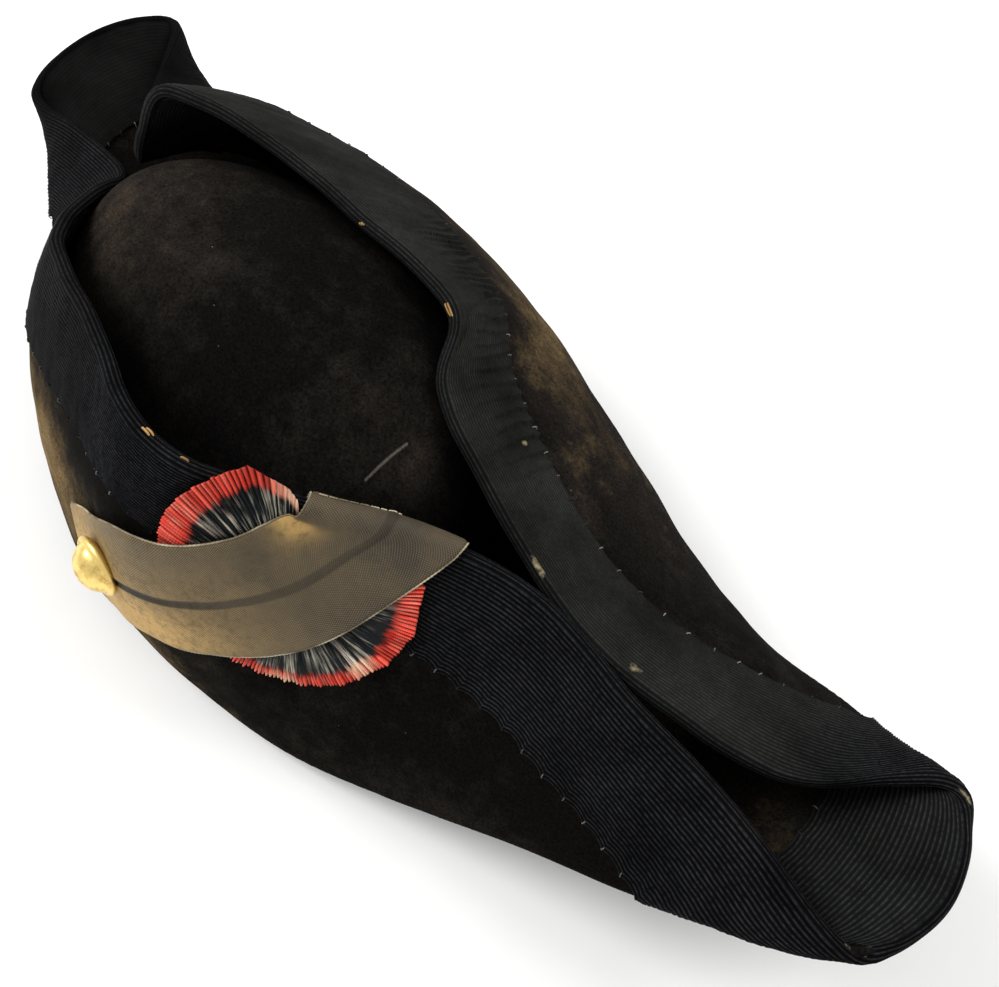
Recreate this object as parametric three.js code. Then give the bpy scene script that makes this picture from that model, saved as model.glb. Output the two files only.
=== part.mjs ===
// A bicorne hat. A felt crown stands in a felt brim that is cocked up into two flaps. The flaps lean over
// the crown, meet in a ridge before and behind it, and open again at two blunt, upturned horns. A wide
// ribbed ribbon binds the whole edge. The front flap carries a pleated cockade, a lace loop and a button.
import * as THREE from "three";

// Driving dimensions in millimetres. X runs from horn to horn, Y points to the plain flap, Z is up.
const FELT = 2.2; // wall of the crown and of the brim
const RIBBON = 0.9; // ribbed silk that binds the edge
const GAP = 0.3; // space between neighbouring pieces
const FOLD_RADIUS = 7; // rounding where the brim turns up
const SEAM = 1.5; // width of the brim that shows inside the crown's wall

const CROWN = { x: -26, y: -9, halfLength: 102, halfWidth: 72, top: 115 };
const DOME = { rise: 2.6, far: 3.2, near: 2.4, across: 2.2 }; // exponents: fullest towards the far horn

// The sole lies flat between the two starts, and then sweeps up to each horn.
const SOLE = { power: 1.45, near: { start: 45, end: 203, rise: 61 }, far: { start: -75, end: -204, rise: 46 } };
const TIP = { edgeReach: 11, foldReach: 8, lift: 4, steps: 4 }; // rounded end of a horn, past its two corners

const rowsOf = (columns, rows) => {
  const names = columns.split(" ");
  return rows.map((row) => Object.fromEntries(names.map((name, i) => [name, row[i]])));
};

// Each row is one section of a flap: where the brim folds up, where its free edge is, how far the flap bows
// outward, as a share of its height, and how wide the ribbon's band is on each face.
const FRONT_FLAP = rowsOf("foldX foldY edgeX edgeY edgeZ bow band", [
  [195, -13, 212, -5, 71, 0.09, 40], // corner of the near horn
  [172, -31, 172, -5, 81, 0.065, 40],
  [137, -47, 136, -8, 88, 0.065, 35],
  [100, -66, 100, -9, 92, 0.065, 35],
  [66, -83, 66, -23, 96, 0.06, 33],
  [30, -91, 38, -48, 104, 0.06, 30],
  [3, -92, 9, -69, 117, 0.07, 27], // bend beside the crown
  [-40, -88, -36, -61, 115, 0.065, 33],
  [-85, -78, -80, -51, 106, 0.07, 37],
  [-125, -60, -110, -26, 89, 0.06, 38],
  [-152, -42, -135, -5, 68, 0.06, 38], // ridge behind the crown
  [-182, -21, -178, -2, 57, 0.06, 38],
  [-196, 0, -210, -4, 56, 0.06, 39], // corner of the far horn
]);
const BACK_FLAP = rowsOf("foldX foldY edgeX edgeY edgeZ bow band", [
  [192, 55, 206, 53, 70, 0.19, 40], // corner of the near horn
  [173, 64, 179, 18, 76, 0.18, 39],
  [143, 66, 146, 1, 85, 0.2, 31],
  [110, 75, 112, -4, 88, 0.2, 25],
  [70, 85, 74, 1, 94, 0.23, 22],
  [35, 92, 35, 10, 104, 0.23, 26],
  [8, 93, 15, 29, 110, 0.18, 22], // bend beside the crown
  [-35, 91, -30, 27, 114, 0.17, 35],
  [-75, 86, -75, 21, 116, 0.14, 40],
  [-108, 79, -110, 9, 115, 0.125, 40], // peak
  [-128, 73, -121, 2, 94, 0.13, 40],
  [-145, 69, -132, 3, 75, 0.135, 40], // ridge behind the crown
  [-175, 64, -170, 26, 63, 0.12, 40],
  [-196, 55, -213, 60, 60, 0.07, 40], // corner of the far horn
]);

// Height of the brim's mid-plane over the table.
function sole(x) {
  const end = x > 0 ? SOLE.near : SOLE.far;
  const share = Math.max(0, (x - end.start) / (end.end - end.start));
  return FELT / 2 + end.rise * share ** SOLE.power;
}

const foldPoint = (row) => new THREE.Vector3(row.foldX, row.foldY, sole(row.foldX));
const edgePoint = (row) => new THREE.Vector3(row.edgeX, row.edgeY, row.edgeZ);

// Rows round the blunt end of a horn, from one flap's corner to the other's.
function tipRows(from, to) {
  const outward = Math.sign(from.edgeX);
  const mix = (key, share) => from[key] + (to[key] - from[key]) * share;
  return Array.from({ length: TIP.steps - 1 }, (_, i) => {
    const angle = (Math.PI * (i + 1)) / TIP.steps;
    const share = (1 - Math.cos(angle)) / 2;
    const reach = outward * Math.sin(angle);
    return {
      foldX: mix("foldX", share) + TIP.foldReach * reach,
      foldY: mix("foldY", share),
      edgeX: mix("edgeX", share) + TIP.edgeReach * reach,
      edgeY: mix("edgeY", share),
      edgeZ: mix("edgeZ", share) + TIP.lift * Math.sin(angle),
      bow: mix("bow", share),
      band: mix("band", share),
    };
  });
}

const BACK_FLAP_HOMEWARD = [...BACK_FLAP].reverse();
const BRIM_ROWS = [
  ...FRONT_FLAP,
  ...tipRows(FRONT_FLAP.at(-1), BACK_FLAP.at(-1)),
  ...BACK_FLAP_HOMEWARD,
  ...tipRows(BACK_FLAP[0], FRONT_FLAP[0]),
];
const HALF_LENGTH = Math.max(...BRIM_ROWS.map((row) => Math.abs(row.edgeX)));
const closedCurve = (points) => new THREE.CatmullRomCurve3(points, true, "catmullrom", 0.5);
const FOLD_LINE = closedCurve(BRIM_ROWS.map(foldPoint));
const EDGE_LINE = closedCurve(BRIM_ROWS.map(edgePoint));
const BOW_LINE = closedCurve(BRIM_ROWS.map((row) => new THREE.Vector3(row.bow, 0, 0)));
const BAND_LINE = closedCurve(BRIM_ROWS.map((row) => new THREE.Vector3(row.band, 0, 0)));

// Point of the head hole that faces the fold at this place.
function headPoint(fold) {
  const angle = Math.atan2((fold.y - CROWN.y) / CROWN.halfWidth, (fold.x - CROWN.x) / CROWN.halfLength);
  const x = CROWN.x + (CROWN.halfLength - FELT - SEAM) * Math.cos(angle);
  const y = CROWN.y + (CROWN.halfWidth - FELT - SEAM) * Math.sin(angle);
  return new THREE.Vector3(x, y, sole(x));
}

// The brim's mid-plane on one section, as points from the free edge down to the head hole. Its floor starts
// square to the fold, less so at a horn's tip, and then swings round to the hole.
const FLOOR_SWING = { most: 26, atTip: 4, perLength: 0.4, squareFrom: 70 };
const [FLAP_POINTS, BEND_POINTS, FLOOR_POINTS] = [14, 6, 10];
const onSole = (x, y) => new THREE.Vector3(x, y, sole(x));
function sectionLine(place) {
  const turn = (place / BRIM_ROWS.length + 1) % 1;
  const fold = FOLD_LINE.getPoint(turn);
  fold.z = sole(fold.x);
  const edge = EDGE_LINE.getPoint(turn);
  const head = headPoint(fold);
  const toTip = HALF_LENGTH - Math.abs(fold.x);
  const room = FLOOR_SWING.atTip + FLOOR_SWING.perLength * toTip;
  const swing = Math.min(FLOOR_SWING.most, fold.distanceTo(head) / 2, room);
  const along = FOLD_LINE.getTangent(turn);
  const square = new THREE.Vector2(along.y, -along.x).normalize();
  const straight = new THREE.Vector2(head.x - fold.x, head.y - fold.y).normalize();
  const aim = straight.lerp(square, THREE.MathUtils.clamp(toTip / FLOOR_SWING.squareFrom, 0.3, 1)).normalize();
  const bendOf = onSole(fold.x + aim.x * swing, fold.y + aim.y * swing);
  const floor = (share) => {
    const [a, b, c] = [(1 - share) ** 2, 2 * share * (1 - share), share ** 2];
    return onSole(a * fold.x + b * bendOf.x + c * head.x, a * fold.y + b * bendOf.y + c * head.y);
  };
  const chord = edge.clone().sub(fold);
  const height = chord.length();
  const rounding = Math.min(FOLD_RADIUS, 0.4 * height, 0.9 * swing);
  const up = chord.clone().normalize();
  const inward = bendOf.clone().sub(fold).normalize();
  const bow = inward.clone().negate().addScaledVector(up, inward.dot(up));
  const bulge = BOW_LINE.getPoint(turn).x * height * bow.length();
  bow.normalize();
  const onFlap = (share) =>
    fold.clone().addScaledVector(chord, share).addScaledVector(bow, bulge * 4 * share * (1 - share));
  const points = [];
  const flapStart = rounding / height;
  for (let i = 0; i <= FLAP_POINTS; i++) points.push(onFlap(1 - ((1 - flapStart) * i) / FLAP_POINTS));
  const floorStart = rounding / (2 * swing);
  const bend = new THREE.QuadraticBezierCurve3(points.at(-1).clone(), fold, floor(floorStart));
  for (let i = 1; i <= BEND_POINTS; i++) points.push(bend.getPoint(i / BEND_POINTS));
  for (let i = 1; i <= FLOOR_POINTS; i++) points.push(floor(floorStart + ((1 - floorStart) * i) / FLOOR_POINTS));
  return points;
}

// A section line measured along its length, from the free edge. The fold is the middle of its bend.
function measured(points) {
  const lengths = [0];
  for (let i = 1; i < points.length; i++) lengths.push(lengths[i - 1] + points[i].distanceTo(points[i - 1]));
  const total = lengths.at(-1);
  const at = (distance) => {
    const d = Math.min(Math.max(distance, 0), total);
    let i = 1;
    while (i < points.length - 1 && lengths[i] < d) i++;
    const share = (d - lengths[i - 1]) / (lengths[i] - lengths[i - 1]);
    return points[i - 1].clone().lerp(points[i], share);
  };
  return { at, total, fold: lengths[FLAP_POINTS + BEND_POINTS / 2] };
}

// Distances from the free edge at which a section is sampled. One sample follows the fold, be it under the
// ribbon, as it is in the horns, or below it.
const RIBBON_COUNT = 5;
const HEAD_LEDGE = FELT + SEAM + 3; // ring round the head hole on which the crown stands
function depths(total, fold, band) {
  const mix = (a, b, share) => a + (b - a) * share;
  const crease = Math.min(fold < 36 ? Math.max(fold, 9) : Math.max(30, 72 - fold), band - 6);
  const half = Math.min(20, crease - 5);
  const below = (distance, least) => Math.max(fold + distance, band + least);
  const bendTop = below(-0.8 * FOLD_RADIUS, 3);
  const bendEnd = below(0.8 * FOLD_RADIUS, 7);
  return [
    0,
    half / 2,
    half,
    crease,
    band,
    mix(band, bendTop, 0.36),
    mix(band, bendTop, 0.7),
    bendTop,
    below(0, 5),
    bendEnd,
    mix(bendEnd, total - HEAD_LEDGE, 0.5),
    total - HEAD_LEDGE,
    total,
  ];
}

// Places of the sections, as broken row numbers: closer together in the horns and under the trimmings.
const HORN_START = 120;
const CORNER = 17; // from the tip of a horn to its corners
const TRIMMED = { from: 3, to: 6 };
const PLACES = BRIM_ROWS.flatMap((row, i) => {
  const next = BRIM_ROWS[(i + 1) % BRIM_ROWS.length];
  const reach = Math.min(Math.abs(row.foldX), Math.abs(next.foldX));
  const horn = reach > HORN_START && reach < HALF_LENGTH - CORNER;
  const trimmed = i >= TRIMMED.from && i < TRIMMED.to;
  const count = trimmed ? 4 : horn ? 3 : 2;
  return Array.from({ length: count }, (_, k) => i + k / count);
});
const SECTIONS = PLACES.map((place) => {
  const line = measured(sectionLine(place));
  const band = BAND_LINE.getPoint(place / BRIM_ROWS.length).x;
  return depths(line.total, line.fold, band).map((depth) => line.at(depth));
});
const SECTION_COUNT = SECTIONS.length;
const DEPTH_COUNT = SECTIONS[0].length;

// Outward normal of the brim's mid-plane at a grid point, midway between the faces that meet there.
function gridNormal(section, depth) {
  const here = SECTIONS[section][depth];
  const step = (to, from) => to.clone().sub(from).normalize();
  const ahead = SECTIONS[(section + 1) % SECTION_COUNT][depth];
  const behind = SECTIONS[(section + SECTION_COUNT - 1) % SECTION_COUNT][depth];
  const round = step(ahead, here).add(step(here, behind));
  const down = new THREE.Vector3();
  if (depth > 0) down.add(step(here, SECTIONS[section][depth - 1]));
  if (depth + 1 < DEPTH_COUNT) down.add(step(SECTIONS[section][depth + 1], here));
  return round.cross(down).normalize();
}

// In the tight turns of the horns each normal is eased towards its neighbours' normals, so that the faces of
// the felt and of the ribbon stay apart there.
const TIGHT_FROM = 165;
const EASING_PASSES = 4;
function eased(normals) {
  const count = normals.length;
  return normals.map((line, i) =>
    line.map((normal, j) => {
      if (Math.abs(SECTIONS[i][j].x) < TIGHT_FROM) return normal;
      const around = [normals[(i + 1) % count][j], normals[(i + count - 1) % count][j]];
      if (j > 0) around.push(line[j - 1]);
      if (j + 1 < line.length) around.push(line[j + 1]);
      return around.reduce((sum, other) => sum.add(other), normal.clone().multiplyScalar(2)).normalize();
    }),
  );
}
let NORMALS = SECTIONS.map((points, i) => points.map((_, j) => gridNormal(i, j)));
for (let pass = 0; pass < EASING_PASSES; pass++) NORMALS = eased(NORMALS);

const offPoint = (i, j, distance) => SECTIONS[i][j].clone().addScaledVector(NORMALS[i][j], distance);

// Direction out of the brim past its free edge.
const pastEdge = (i) => SECTIONS[i][0].clone().sub(SECTIONS[i][1]).normalize();

// Closed solid from a ring of closed loops. Each point of a loop has a rank, its order from the free edge
// down. Every face is split from its lower to its upper rank, so that faces on each other stay parallel.
function ringSolid(loops, ranks) {
  const count = ranks.length;
  const position = loops.flat().flatMap((p) => [p.x, p.y, p.z]);
  const index = [];
  loops.forEach((_, i) => {
    const next = (i + 1) % loops.length;
    for (let j = 0; j < count; j++) {
      const k = (j + 1) % count;
      const [a, b, c, d] = [i * count + j, next * count + j, next * count + k, i * count + k];
      if (ranks[k] < ranks[j]) index.push(a, b, c, a, c, d);
      else index.push(a, b, d, b, c, d);
    }
  });
  return indexed(position, index);
}

function indexed(position, index) {
  const geometry = new THREE.BufferGeometry();
  geometry.setAttribute("position", new THREE.Float32BufferAttribute(position, 3));
  geometry.setIndex(index);
  geometry.computeVertexNormals();
  return geometry;
}

// The felt brim: down its outer face from the free edge, and back up its inner face.
function brimGeometry() {
  const loops = SECTIONS.map((points, i) => {
    const outer = points.map((_, j) => offPoint(i, j, FELT / 2));
    const inner = points.map((_, j) => offPoint(i, j, -FELT / 2));
    outer.forEach((p) => (p.z = Math.max(p.z, 0)));
    return [...outer, ...inner.reverse()];
  });
  const down = Array.from({ length: DEPTH_COUNT }, (_, j) => j);
  return ringSolid(loops, [...down, ...[...down].reverse()]);
}

// The ribbon: a U over the free edge, down both faces.
function bindingGeometry() {
  const near = FELT / 2 + GAP;
  const far = near + RIBBON;
  const wrap = (i, distance) => {
    const faces = (side) =>
      Array.from({ length: RIBBON_COUNT }, (_, j) => offPoint(i, j, side * distance));
    const top = SECTIONS[i][0].clone().addScaledVector(pastEdge(i), distance);
    return [...faces(1).reverse(), top, ...faces(-1)];
  };
  const down = Array.from({ length: RIBBON_COUNT }, (_, j) => j);
  const ranks = [...[...down].reverse(), -1, ...down];
  const loops = SECTIONS.map((_, i) => [...wrap(i, far).reverse(), ...wrap(i, near)]);
  return ringSolid(loops, [...ranks, ...ranks]);
}

// Closed solid between two skins that share a rim. Each skin is a list of rings, from the rim to a pole.
function domeSolid(outer, outerPole, inner, innerPole) {
  const turns = outer[0].length;
  const points = [...outer.flat(), ...inner.flat(), outerPole, innerPole];
  const index = [];
  const quad = (a, b, c, d) => index.push(a, b, c, a, c, d);
  const innerStart = outer.length * turns;
  const pole = innerStart + inner.length * turns;
  for (let i = 0; i < turns; i++) {
    const k = (i + 1) % turns;
    for (let r = 0; r + 1 < outer.length; r++) {
      const [low, high] = [r * turns, (r + 1) * turns];
      quad(low + i, low + k, high + k, high + i);
    }
    for (let r = 0; r + 1 < inner.length; r++) {
      const [low, high] = [innerStart + r * turns, innerStart + (r + 1) * turns];
      quad(low + k, low + i, high + i, high + k);
    }
    const [top, topIn] = [innerStart - turns, pole - turns];
    index.push(top + i, top + k, pole, topIn + k, topIn + i, pole + 1);
    quad(innerStart + i, innerStart + k, k, i);
  }
  return indexed(points.flatMap((p) => [p.x, p.y, p.z]), index);
}

// The crown: a felt dome that stands on the brim round the head hole.
const CROWN_TURNS = 40;
const CROWN_LEVELS = [0, 0.2, 0.4, 0.58, 0.72, 0.84, 0.93, 0.985];
function crownPoint(angle, level, inset) {
  const fill = 1 - level ** DOME.rise;
  const along = Math.cos(angle) > 0 ? DOME.near : DOME.far;
  const x = CROWN.x + (CROWN.halfLength - inset) * fill ** (1 / along) * Math.cos(angle);
  const y = CROWN.y + (CROWN.halfWidth - inset) * fill ** (1 / DOME.across) * Math.sin(angle);
  const rim = sole(CROWN.x + CROWN.halfLength * Math.cos(angle)) + FELT / 2 + 1.5 * GAP;
  return new THREE.Vector3(x, y, rim + (CROWN.top - inset - rim) * level);
}

const turnsOf = (count) => Array.from({ length: count }, (_, i) => (2 * Math.PI * i) / count);

function crownGeometry() {
  const angles = turnsOf(CROWN_TURNS);
  const rings = (inset) => CROWN_LEVELS.map((level) => angles.map((angle) => crownPoint(angle, level, inset)));
  const pole = (inset) => new THREE.Vector3(CROWN.x, CROWN.y, CROWN.top - inset);
  return domeSolid(rings(0), pole(0), rings(FELT), pole(FELT));
}

// Place on the front flap: a row number of its table, possibly broken, and a distance from its free edge.
// A negative distance runs on past the edge. The normal points out of the hat.
function flapFrame(row, depth) {
  const lineAt = (place) => measured(sectionLine(place));
  const line = lineAt(row);
  const inside = Math.max(depth, 0);
  const along = lineAt(row + 0.05).at(inside).sub(lineAt(row - 0.05).at(inside));
  const up = line.at(Math.max(inside - 1, 0)).sub(line.at(Math.max(inside - 1, 0) + 2)).normalize();
  const normal = up.clone().cross(along).normalize();
  const point = line.at(inside).addScaledVector(up, inside - depth);
  return { point, normal, up };
}
function overFlap(row, depth, lift) {
  const { point, normal } = flapFrame(row, depth);
  return point.addScaledVector(normal, FELT / 2 + lift);
}

// The cockade: a round of pleated ribbon against the front flap, standing up past the flap's edge except
// where the lace holds it down.
const COCKADE = { row: 4.65, depth: 27.5, radius: 39, pleats: 44, lift: GAP + RIBBON + 2 * GAP };
const ROW_SPAN = 38; // distance between two rows of the front flap's table, near the cockade
const RUFFLE = { angle: 130, spread: 25, fuller: 6 }; // where the rim is fuller, in degrees, and by how much
const HELD = { to: 104, free: 116, height: 16 }; // sector under the lace, in degrees, and how high it reaches
const COCKADE_RINGS = rowsOf("share height pleat", [
  [1, 1.6, 0.9],
  [0.86, 2.5, 0.9],
  [0.62, 2.8, 0.7],
  [0.3, 2.6, 0.4],
]);

function cockadeReach(angle) {
  const degrees = (angle * 180) / Math.PI;
  const fuller = RUFFLE.fuller * Math.exp(-(((degrees - RUFFLE.angle) / RUFFLE.spread) ** 2));
  const whole = COCKADE.radius + fuller;
  const held = Math.min(whole, HELD.height / Math.max(Math.sin(angle), 0.01));
  const free = THREE.MathUtils.clamp((degrees - HELD.to) / (HELD.free - HELD.to), 0, 1);
  return held + (whole - held) * free;
}

function cockadeGeometry() {
  const angles = turnsOf(COCKADE.pleats * 2);
  const place = (angle, share, height) => {
    const reach = cockadeReach(angle) * share;
    const row = COCKADE.row - (reach * Math.cos(angle)) / ROW_SPAN;
    return overFlap(row, COCKADE.depth - reach * Math.sin(angle), COCKADE.lift + height);
  };
  const pleat = (i) => (i % 2 ? -1 : 1);
  const front = COCKADE_RINGS.map((ring) =>
    angles.map((angle, i) => place(angle, ring.share, ring.height + pleat(i) * ring.pleat)),
  );
  const back = [1, 0.5].map((share) => angles.map((angle) => place(angle, share, 0)));
  return domeSolid(front, place(0, 0, COCKADE_RINGS.at(-1).height), back, place(0, 0, 0));
}

// The lace loop: two strips side by side, from the button up over the cockade and over the flap's edge.
// Each row gives its upper and its lower border as a row and a depth of the front flap, and a lift.
const LACE = { thick: 1.2, groove: 0.6, turnOver: 8, steps: 18 };
const LACE_ROWS = rowsOf("upRow upDepth upLift lowRow lowDepth lowLift", [
  [6.85, 70, 0.9, 6.3, 90, 0.9], // end past the button
  [6.45, 53, 1.2, 5.95, 82, 1.2],
  [6.02, 34.5, 3.4, 5.6, 75, 3.4],
  [5.58, 24, 5.7, 5.1, 68.5, 5.6],
  [5.24, 14.5, 6, 4.62, 58.5, 6], // over the cockade
  [5.06, 7, 5.9, 4.18, 42, 6.2],
  [4.95, 1.5, 5.3, 3.88, 17, 6.2],
  [4.88, 0, 3.1, 3.72, 0, 2.6], // flap's edge
  [4.86, -8, 2.2, 3.69, -8, 2.2],
  [4.84, -17, 2, 3.67, -17, 2], // end inside the flap
]);
const LACE_PROFILE = rowsOf("across sink", [
  [0, 0.35],
  [0.06, 0],
  [0.25, 0],
  [0.44, 0],
  [0.5, 1],
  [0.56, 0],
  [0.75, 0],
  [0.94, 0],
  [1, 0.35],
]);

// A place on the front flap's skin. Past the free edge it turns over and runs down the inner face.
function overEdge(row, depth, lift) {
  if (depth >= 0) return overFlap(row, depth, lift);
  const turn = Math.min(-depth / LACE.turnOver, 1) * Math.PI;
  const { point, normal, up } = flapFrame(row, Math.max(-depth - LACE.turnOver, 0));
  const distance = FELT / 2 + lift;
  return point
    .addScaledVector(normal, distance * Math.cos(turn))
    .addScaledVector(up, distance * Math.sin(turn));
}

function laceGeometry() {
  const border = (side) =>
    new THREE.CatmullRomCurve3(
      LACE_ROWS.map((row) => new THREE.Vector3(row[`${side}Row`], row[`${side}Depth`], row[`${side}Lift`])),
      false,
      "catmullrom",
      0.5,
    );
  const [upper, lower] = [border("up"), border("low")];
  const skin = (height) =>
    Array.from({ length: LACE.steps + 1 }, (_, i) => {
      const [a, b] = [upper.getPoint(i / LACE.steps), lower.getPoint(i / LACE.steps)];
      return LACE_PROFILE.map(({ across, sink }) => {
        const at = a.clone().lerp(b, across);
        return overEdge(at.x, at.y, at.z + height * (LACE.thick - LACE.groove * sink));
      });
    });
  return sheetSolid(skin(0), skin(1));
}

// Closed solid between two grids of points of the same size.
function sheetSolid(bottom, top) {
  const [rows, columns] = [top.length, top[0].length];
  const points = [...bottom.flat(), ...top.flat()];
  const under = rows * columns;
  const index = [];
  const quad = (a, b, c, d) => index.push(a, b, c, a, c, d);
  const at = (i, j) => i * columns + j;
  for (let i = 0; i + 1 < rows; i++) {
    for (let j = 0; j + 1 < columns; j++) {
      const [a, b, c, d] = [at(i, j), at(i + 1, j), at(i + 1, j + 1), at(i, j + 1)];
      quad(a, b, c, d);
      quad(under + a, under + d, under + c, under + b);
    }
    const [near, far] = [columns - 1, 0];
    quad(at(i + 1, far), at(i, far), under + at(i, far), under + at(i + 1, far));
    quad(at(i, near), at(i + 1, near), under + at(i + 1, near), under + at(i, near));
  }
  for (let j = 0; j + 1 < columns; j++) {
    const last = rows - 1;
    quad(at(0, j), at(0, j + 1), under + at(0, j + 1), under + at(0, j));
    quad(at(last, j + 1), at(last, j), under + at(last, j), under + at(last, j + 1));
  }
  return indexed(points.flatMap((p) => [p.x, p.y, p.z]), index);
}

// The button: a plain gilt dome with a rolled rim.
const BUTTON = { row: 6.28, depth: 65, lift: 2.75, turns: 18 };
const BUTTON_PROFILE = rowsOf("radius height", [
  [9.2, 0],
  [10, 0.9],
  [10, 2],
  [9.3, 2.8],
  [8.6, 2.9],
  [7.4, 4.6],
  [5.2, 6.5],
  [2.6, 7.6],
]);
const BUTTON_TOP = 8;

function buttonGeometry() {
  const { point, normal, up } = flapFrame(BUTTON.row, BUTTON.depth);
  const side = up.clone().cross(normal);
  const base = point.clone().addScaledVector(normal, FELT / 2 + BUTTON.lift);
  const place = (angle, radius, height) =>
    base
      .clone()
      .addScaledVector(side, radius * Math.cos(angle))
      .addScaledVector(up, radius * Math.sin(angle))
      .addScaledVector(normal, height);
  const angles = turnsOf(BUTTON.turns);
  const ring = ({ radius, height }) => angles.map((angle) => place(angle, radius, height));
  const back = [{ radius: BUTTON_PROFILE[0].radius - 0.8, height: 0 }].map(ring);
  return domeSolid(BUTTON_PROFILE.map(ring), place(0, 0, BUTTON_TOP), back, place(0, 0, 0));
}

const blackFelt = new THREE.MeshStandardMaterial({ color: 0x171412, roughness: 0.95 });
const blackRibbon = new THREE.MeshStandardMaterial({ color: 0x101114, roughness: 0.7 });
const redRibbon = new THREE.MeshStandardMaterial({ color: 0xa8352f, roughness: 0.8 });
const tarnishedLace = new THREE.MeshStandardMaterial({ color: 0x5e5138, roughness: 0.55, metalness: 0.4 });
const gilt = new THREE.MeshStandardMaterial({ color: 0xc89a4a, roughness: 0.35, metalness: 1 });

const hat = new THREE.Group();
function add(name, geometry, material) {
  const mesh = new THREE.Mesh(geometry, material);
  mesh.name = name;
  hat.add(mesh);
}
add("crown", crownGeometry(), blackFelt);
add("brim", brimGeometry(), blackFelt);
add("edge_binding", bindingGeometry(), blackRibbon);
add("cockade", cockadeGeometry(), redRibbon);
add("loop_strap", laceGeometry(), tarnishedLace);
add("button", buttonGeometry(), gilt);

// The origin is the middle of the hat's box, on the table.
const box = new THREE.Box3().setFromObject(hat);
hat.position.set(-(box.min.x + box.max.x) / 2, -(box.min.y + box.max.y) / 2, -box.min.z);

export default hat;
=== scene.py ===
import math

import bpy
import numpy as np
from mathutils import Matrix, Vector


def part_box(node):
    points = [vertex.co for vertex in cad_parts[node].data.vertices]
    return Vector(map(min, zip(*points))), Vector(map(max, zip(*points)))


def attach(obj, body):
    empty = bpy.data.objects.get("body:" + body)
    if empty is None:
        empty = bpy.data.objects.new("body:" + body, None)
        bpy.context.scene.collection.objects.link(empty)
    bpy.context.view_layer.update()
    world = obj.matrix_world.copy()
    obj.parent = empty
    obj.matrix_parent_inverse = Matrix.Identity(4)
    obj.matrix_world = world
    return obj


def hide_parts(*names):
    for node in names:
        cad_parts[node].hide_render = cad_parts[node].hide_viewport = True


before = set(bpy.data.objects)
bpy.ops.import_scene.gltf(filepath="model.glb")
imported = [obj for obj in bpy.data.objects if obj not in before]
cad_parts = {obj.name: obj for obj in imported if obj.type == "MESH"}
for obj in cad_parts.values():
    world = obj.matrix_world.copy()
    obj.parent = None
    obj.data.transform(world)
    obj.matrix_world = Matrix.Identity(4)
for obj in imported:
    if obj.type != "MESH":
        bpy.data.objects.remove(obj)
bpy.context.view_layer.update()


# The brim: one sheet of black wool felt, 2.2 mm thick. It is steamed and cocked up into two flaps that lean
# over the crown and meet before and behind it, and it ends in a blunt, upturned horn each way.
MM = 0.001
FELT = 2.2
FOLD_RADIUS = 7
SEAM = 1.5
CROWN = {"x": -26, "y": -9, "half_length": 102, "half_width": 72, "top": 115}
SOLE_POWER = 1.45
SOLE_NEAR = {"start": 45, "end": 203, "rise": 61}
SOLE_FAR = {"start": -75, "end": -204, "rise": 46}
TIP = {"fold_reach": 8, "steps": 4}
NEAR_TIP = {"edge_reach": 16, "lift": 3}
FAR_TIP = {"edge_reach": 15, "lift": 4}
FLOOR_SWING = {"most": 26, "at_tip": 4, "per_length": 0.4, "square_from": 70}
HORN = {"start": 150, "full": 170}
FELT_WAVES = [(3, 70, 0.9), (4, 24, 0.35)]  # seed, length and height of each
STILL = {"above_fold": 6, "fade": 12}

# Sections of each flap, in millimetres: where the felt folds up (x, y), where its free edge is (x, y, z), how
# far the flap bows outward, as a share of its height, and how wide the ribbon's band is.
FRONT_FLAP = np.array([
    [195, -17, 212, -5, 71, 0.09, 40],  # corner of the near horn
    [172, -30.5, 172, -5, 81, 0.065, 40],
    [137, -44.5, 136, -8, 88, 0.065, 35],
    [100, -62, 100, -9, 92, 0.065, 35],
    [66, -76.5, 66, -23, 96, 0.06, 33],
    [30, -85.5, 38, -48, 104, 0.06, 30],
    [3, -89, 9, -69, 117, 0.07, 27],  # bend beside the crown
    [-40, -91, -36, -61, 115, 0.065, 33],
    [-85, -78, -80, -51, 106, 0.07, 37],
    [-125, -60, -110, -26, 89, 0.06, 38],
    [-153, -38, -135, -5, 68, 0.05, 38],  # ridge behind the crown
    [-183, -18, -178, -2, 57, 0.05, 38],
    [-199, -5, -204, -5, 54.5, 0.10, 39],  # corner of the far horn
])
BACK_FLAP = np.array([
    [192, 55, 206, 53, 70, 0.19, 40],  # corner of the near horn
    [173, 63, 179, 18, 76, 0.18, 39],
    [143, 64.5, 146, 1, 85, 0.2, 31],
    [110, 73, 112, -4, 88, 0.2, 25],
    [70, 81.5, 74, 1, 94, 0.23, 22],
    [35, 88, 35, 10, 104, 0.23, 26],
    [8, 90, 15, 29, 110, 0.18, 22],  # bend beside the crown
    [-35, 91, -30, 27, 114, 0.2, 35],
    [-75, 87, -75, 21, 116, 0.185, 40],
    [-108, 80, -110, 9, 115, 0.165, 40],  # peak
    [-128, 75, -121, 2, 94, 0.175, 40],
    [-145, 70, -132, 3, 75, 0.16, 40],  # ridge behind the crown
    [-175, 67, -170, 26, 63, 0.15, 40],
    [-194, 59, -209, 62.5, 59, 0.10, 40],  # corner of the far horn
])

# The tables are drawn about the crown, and the frame's origin is the middle of the hat's box.
crown_low, crown_high = (np.array(corner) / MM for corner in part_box("crown"))
TO_FRAME = np.array([*((crown_low + crown_high) / 2)[:2], 0]) - (CROWN["x"], CROWN["y"], 0)


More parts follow.
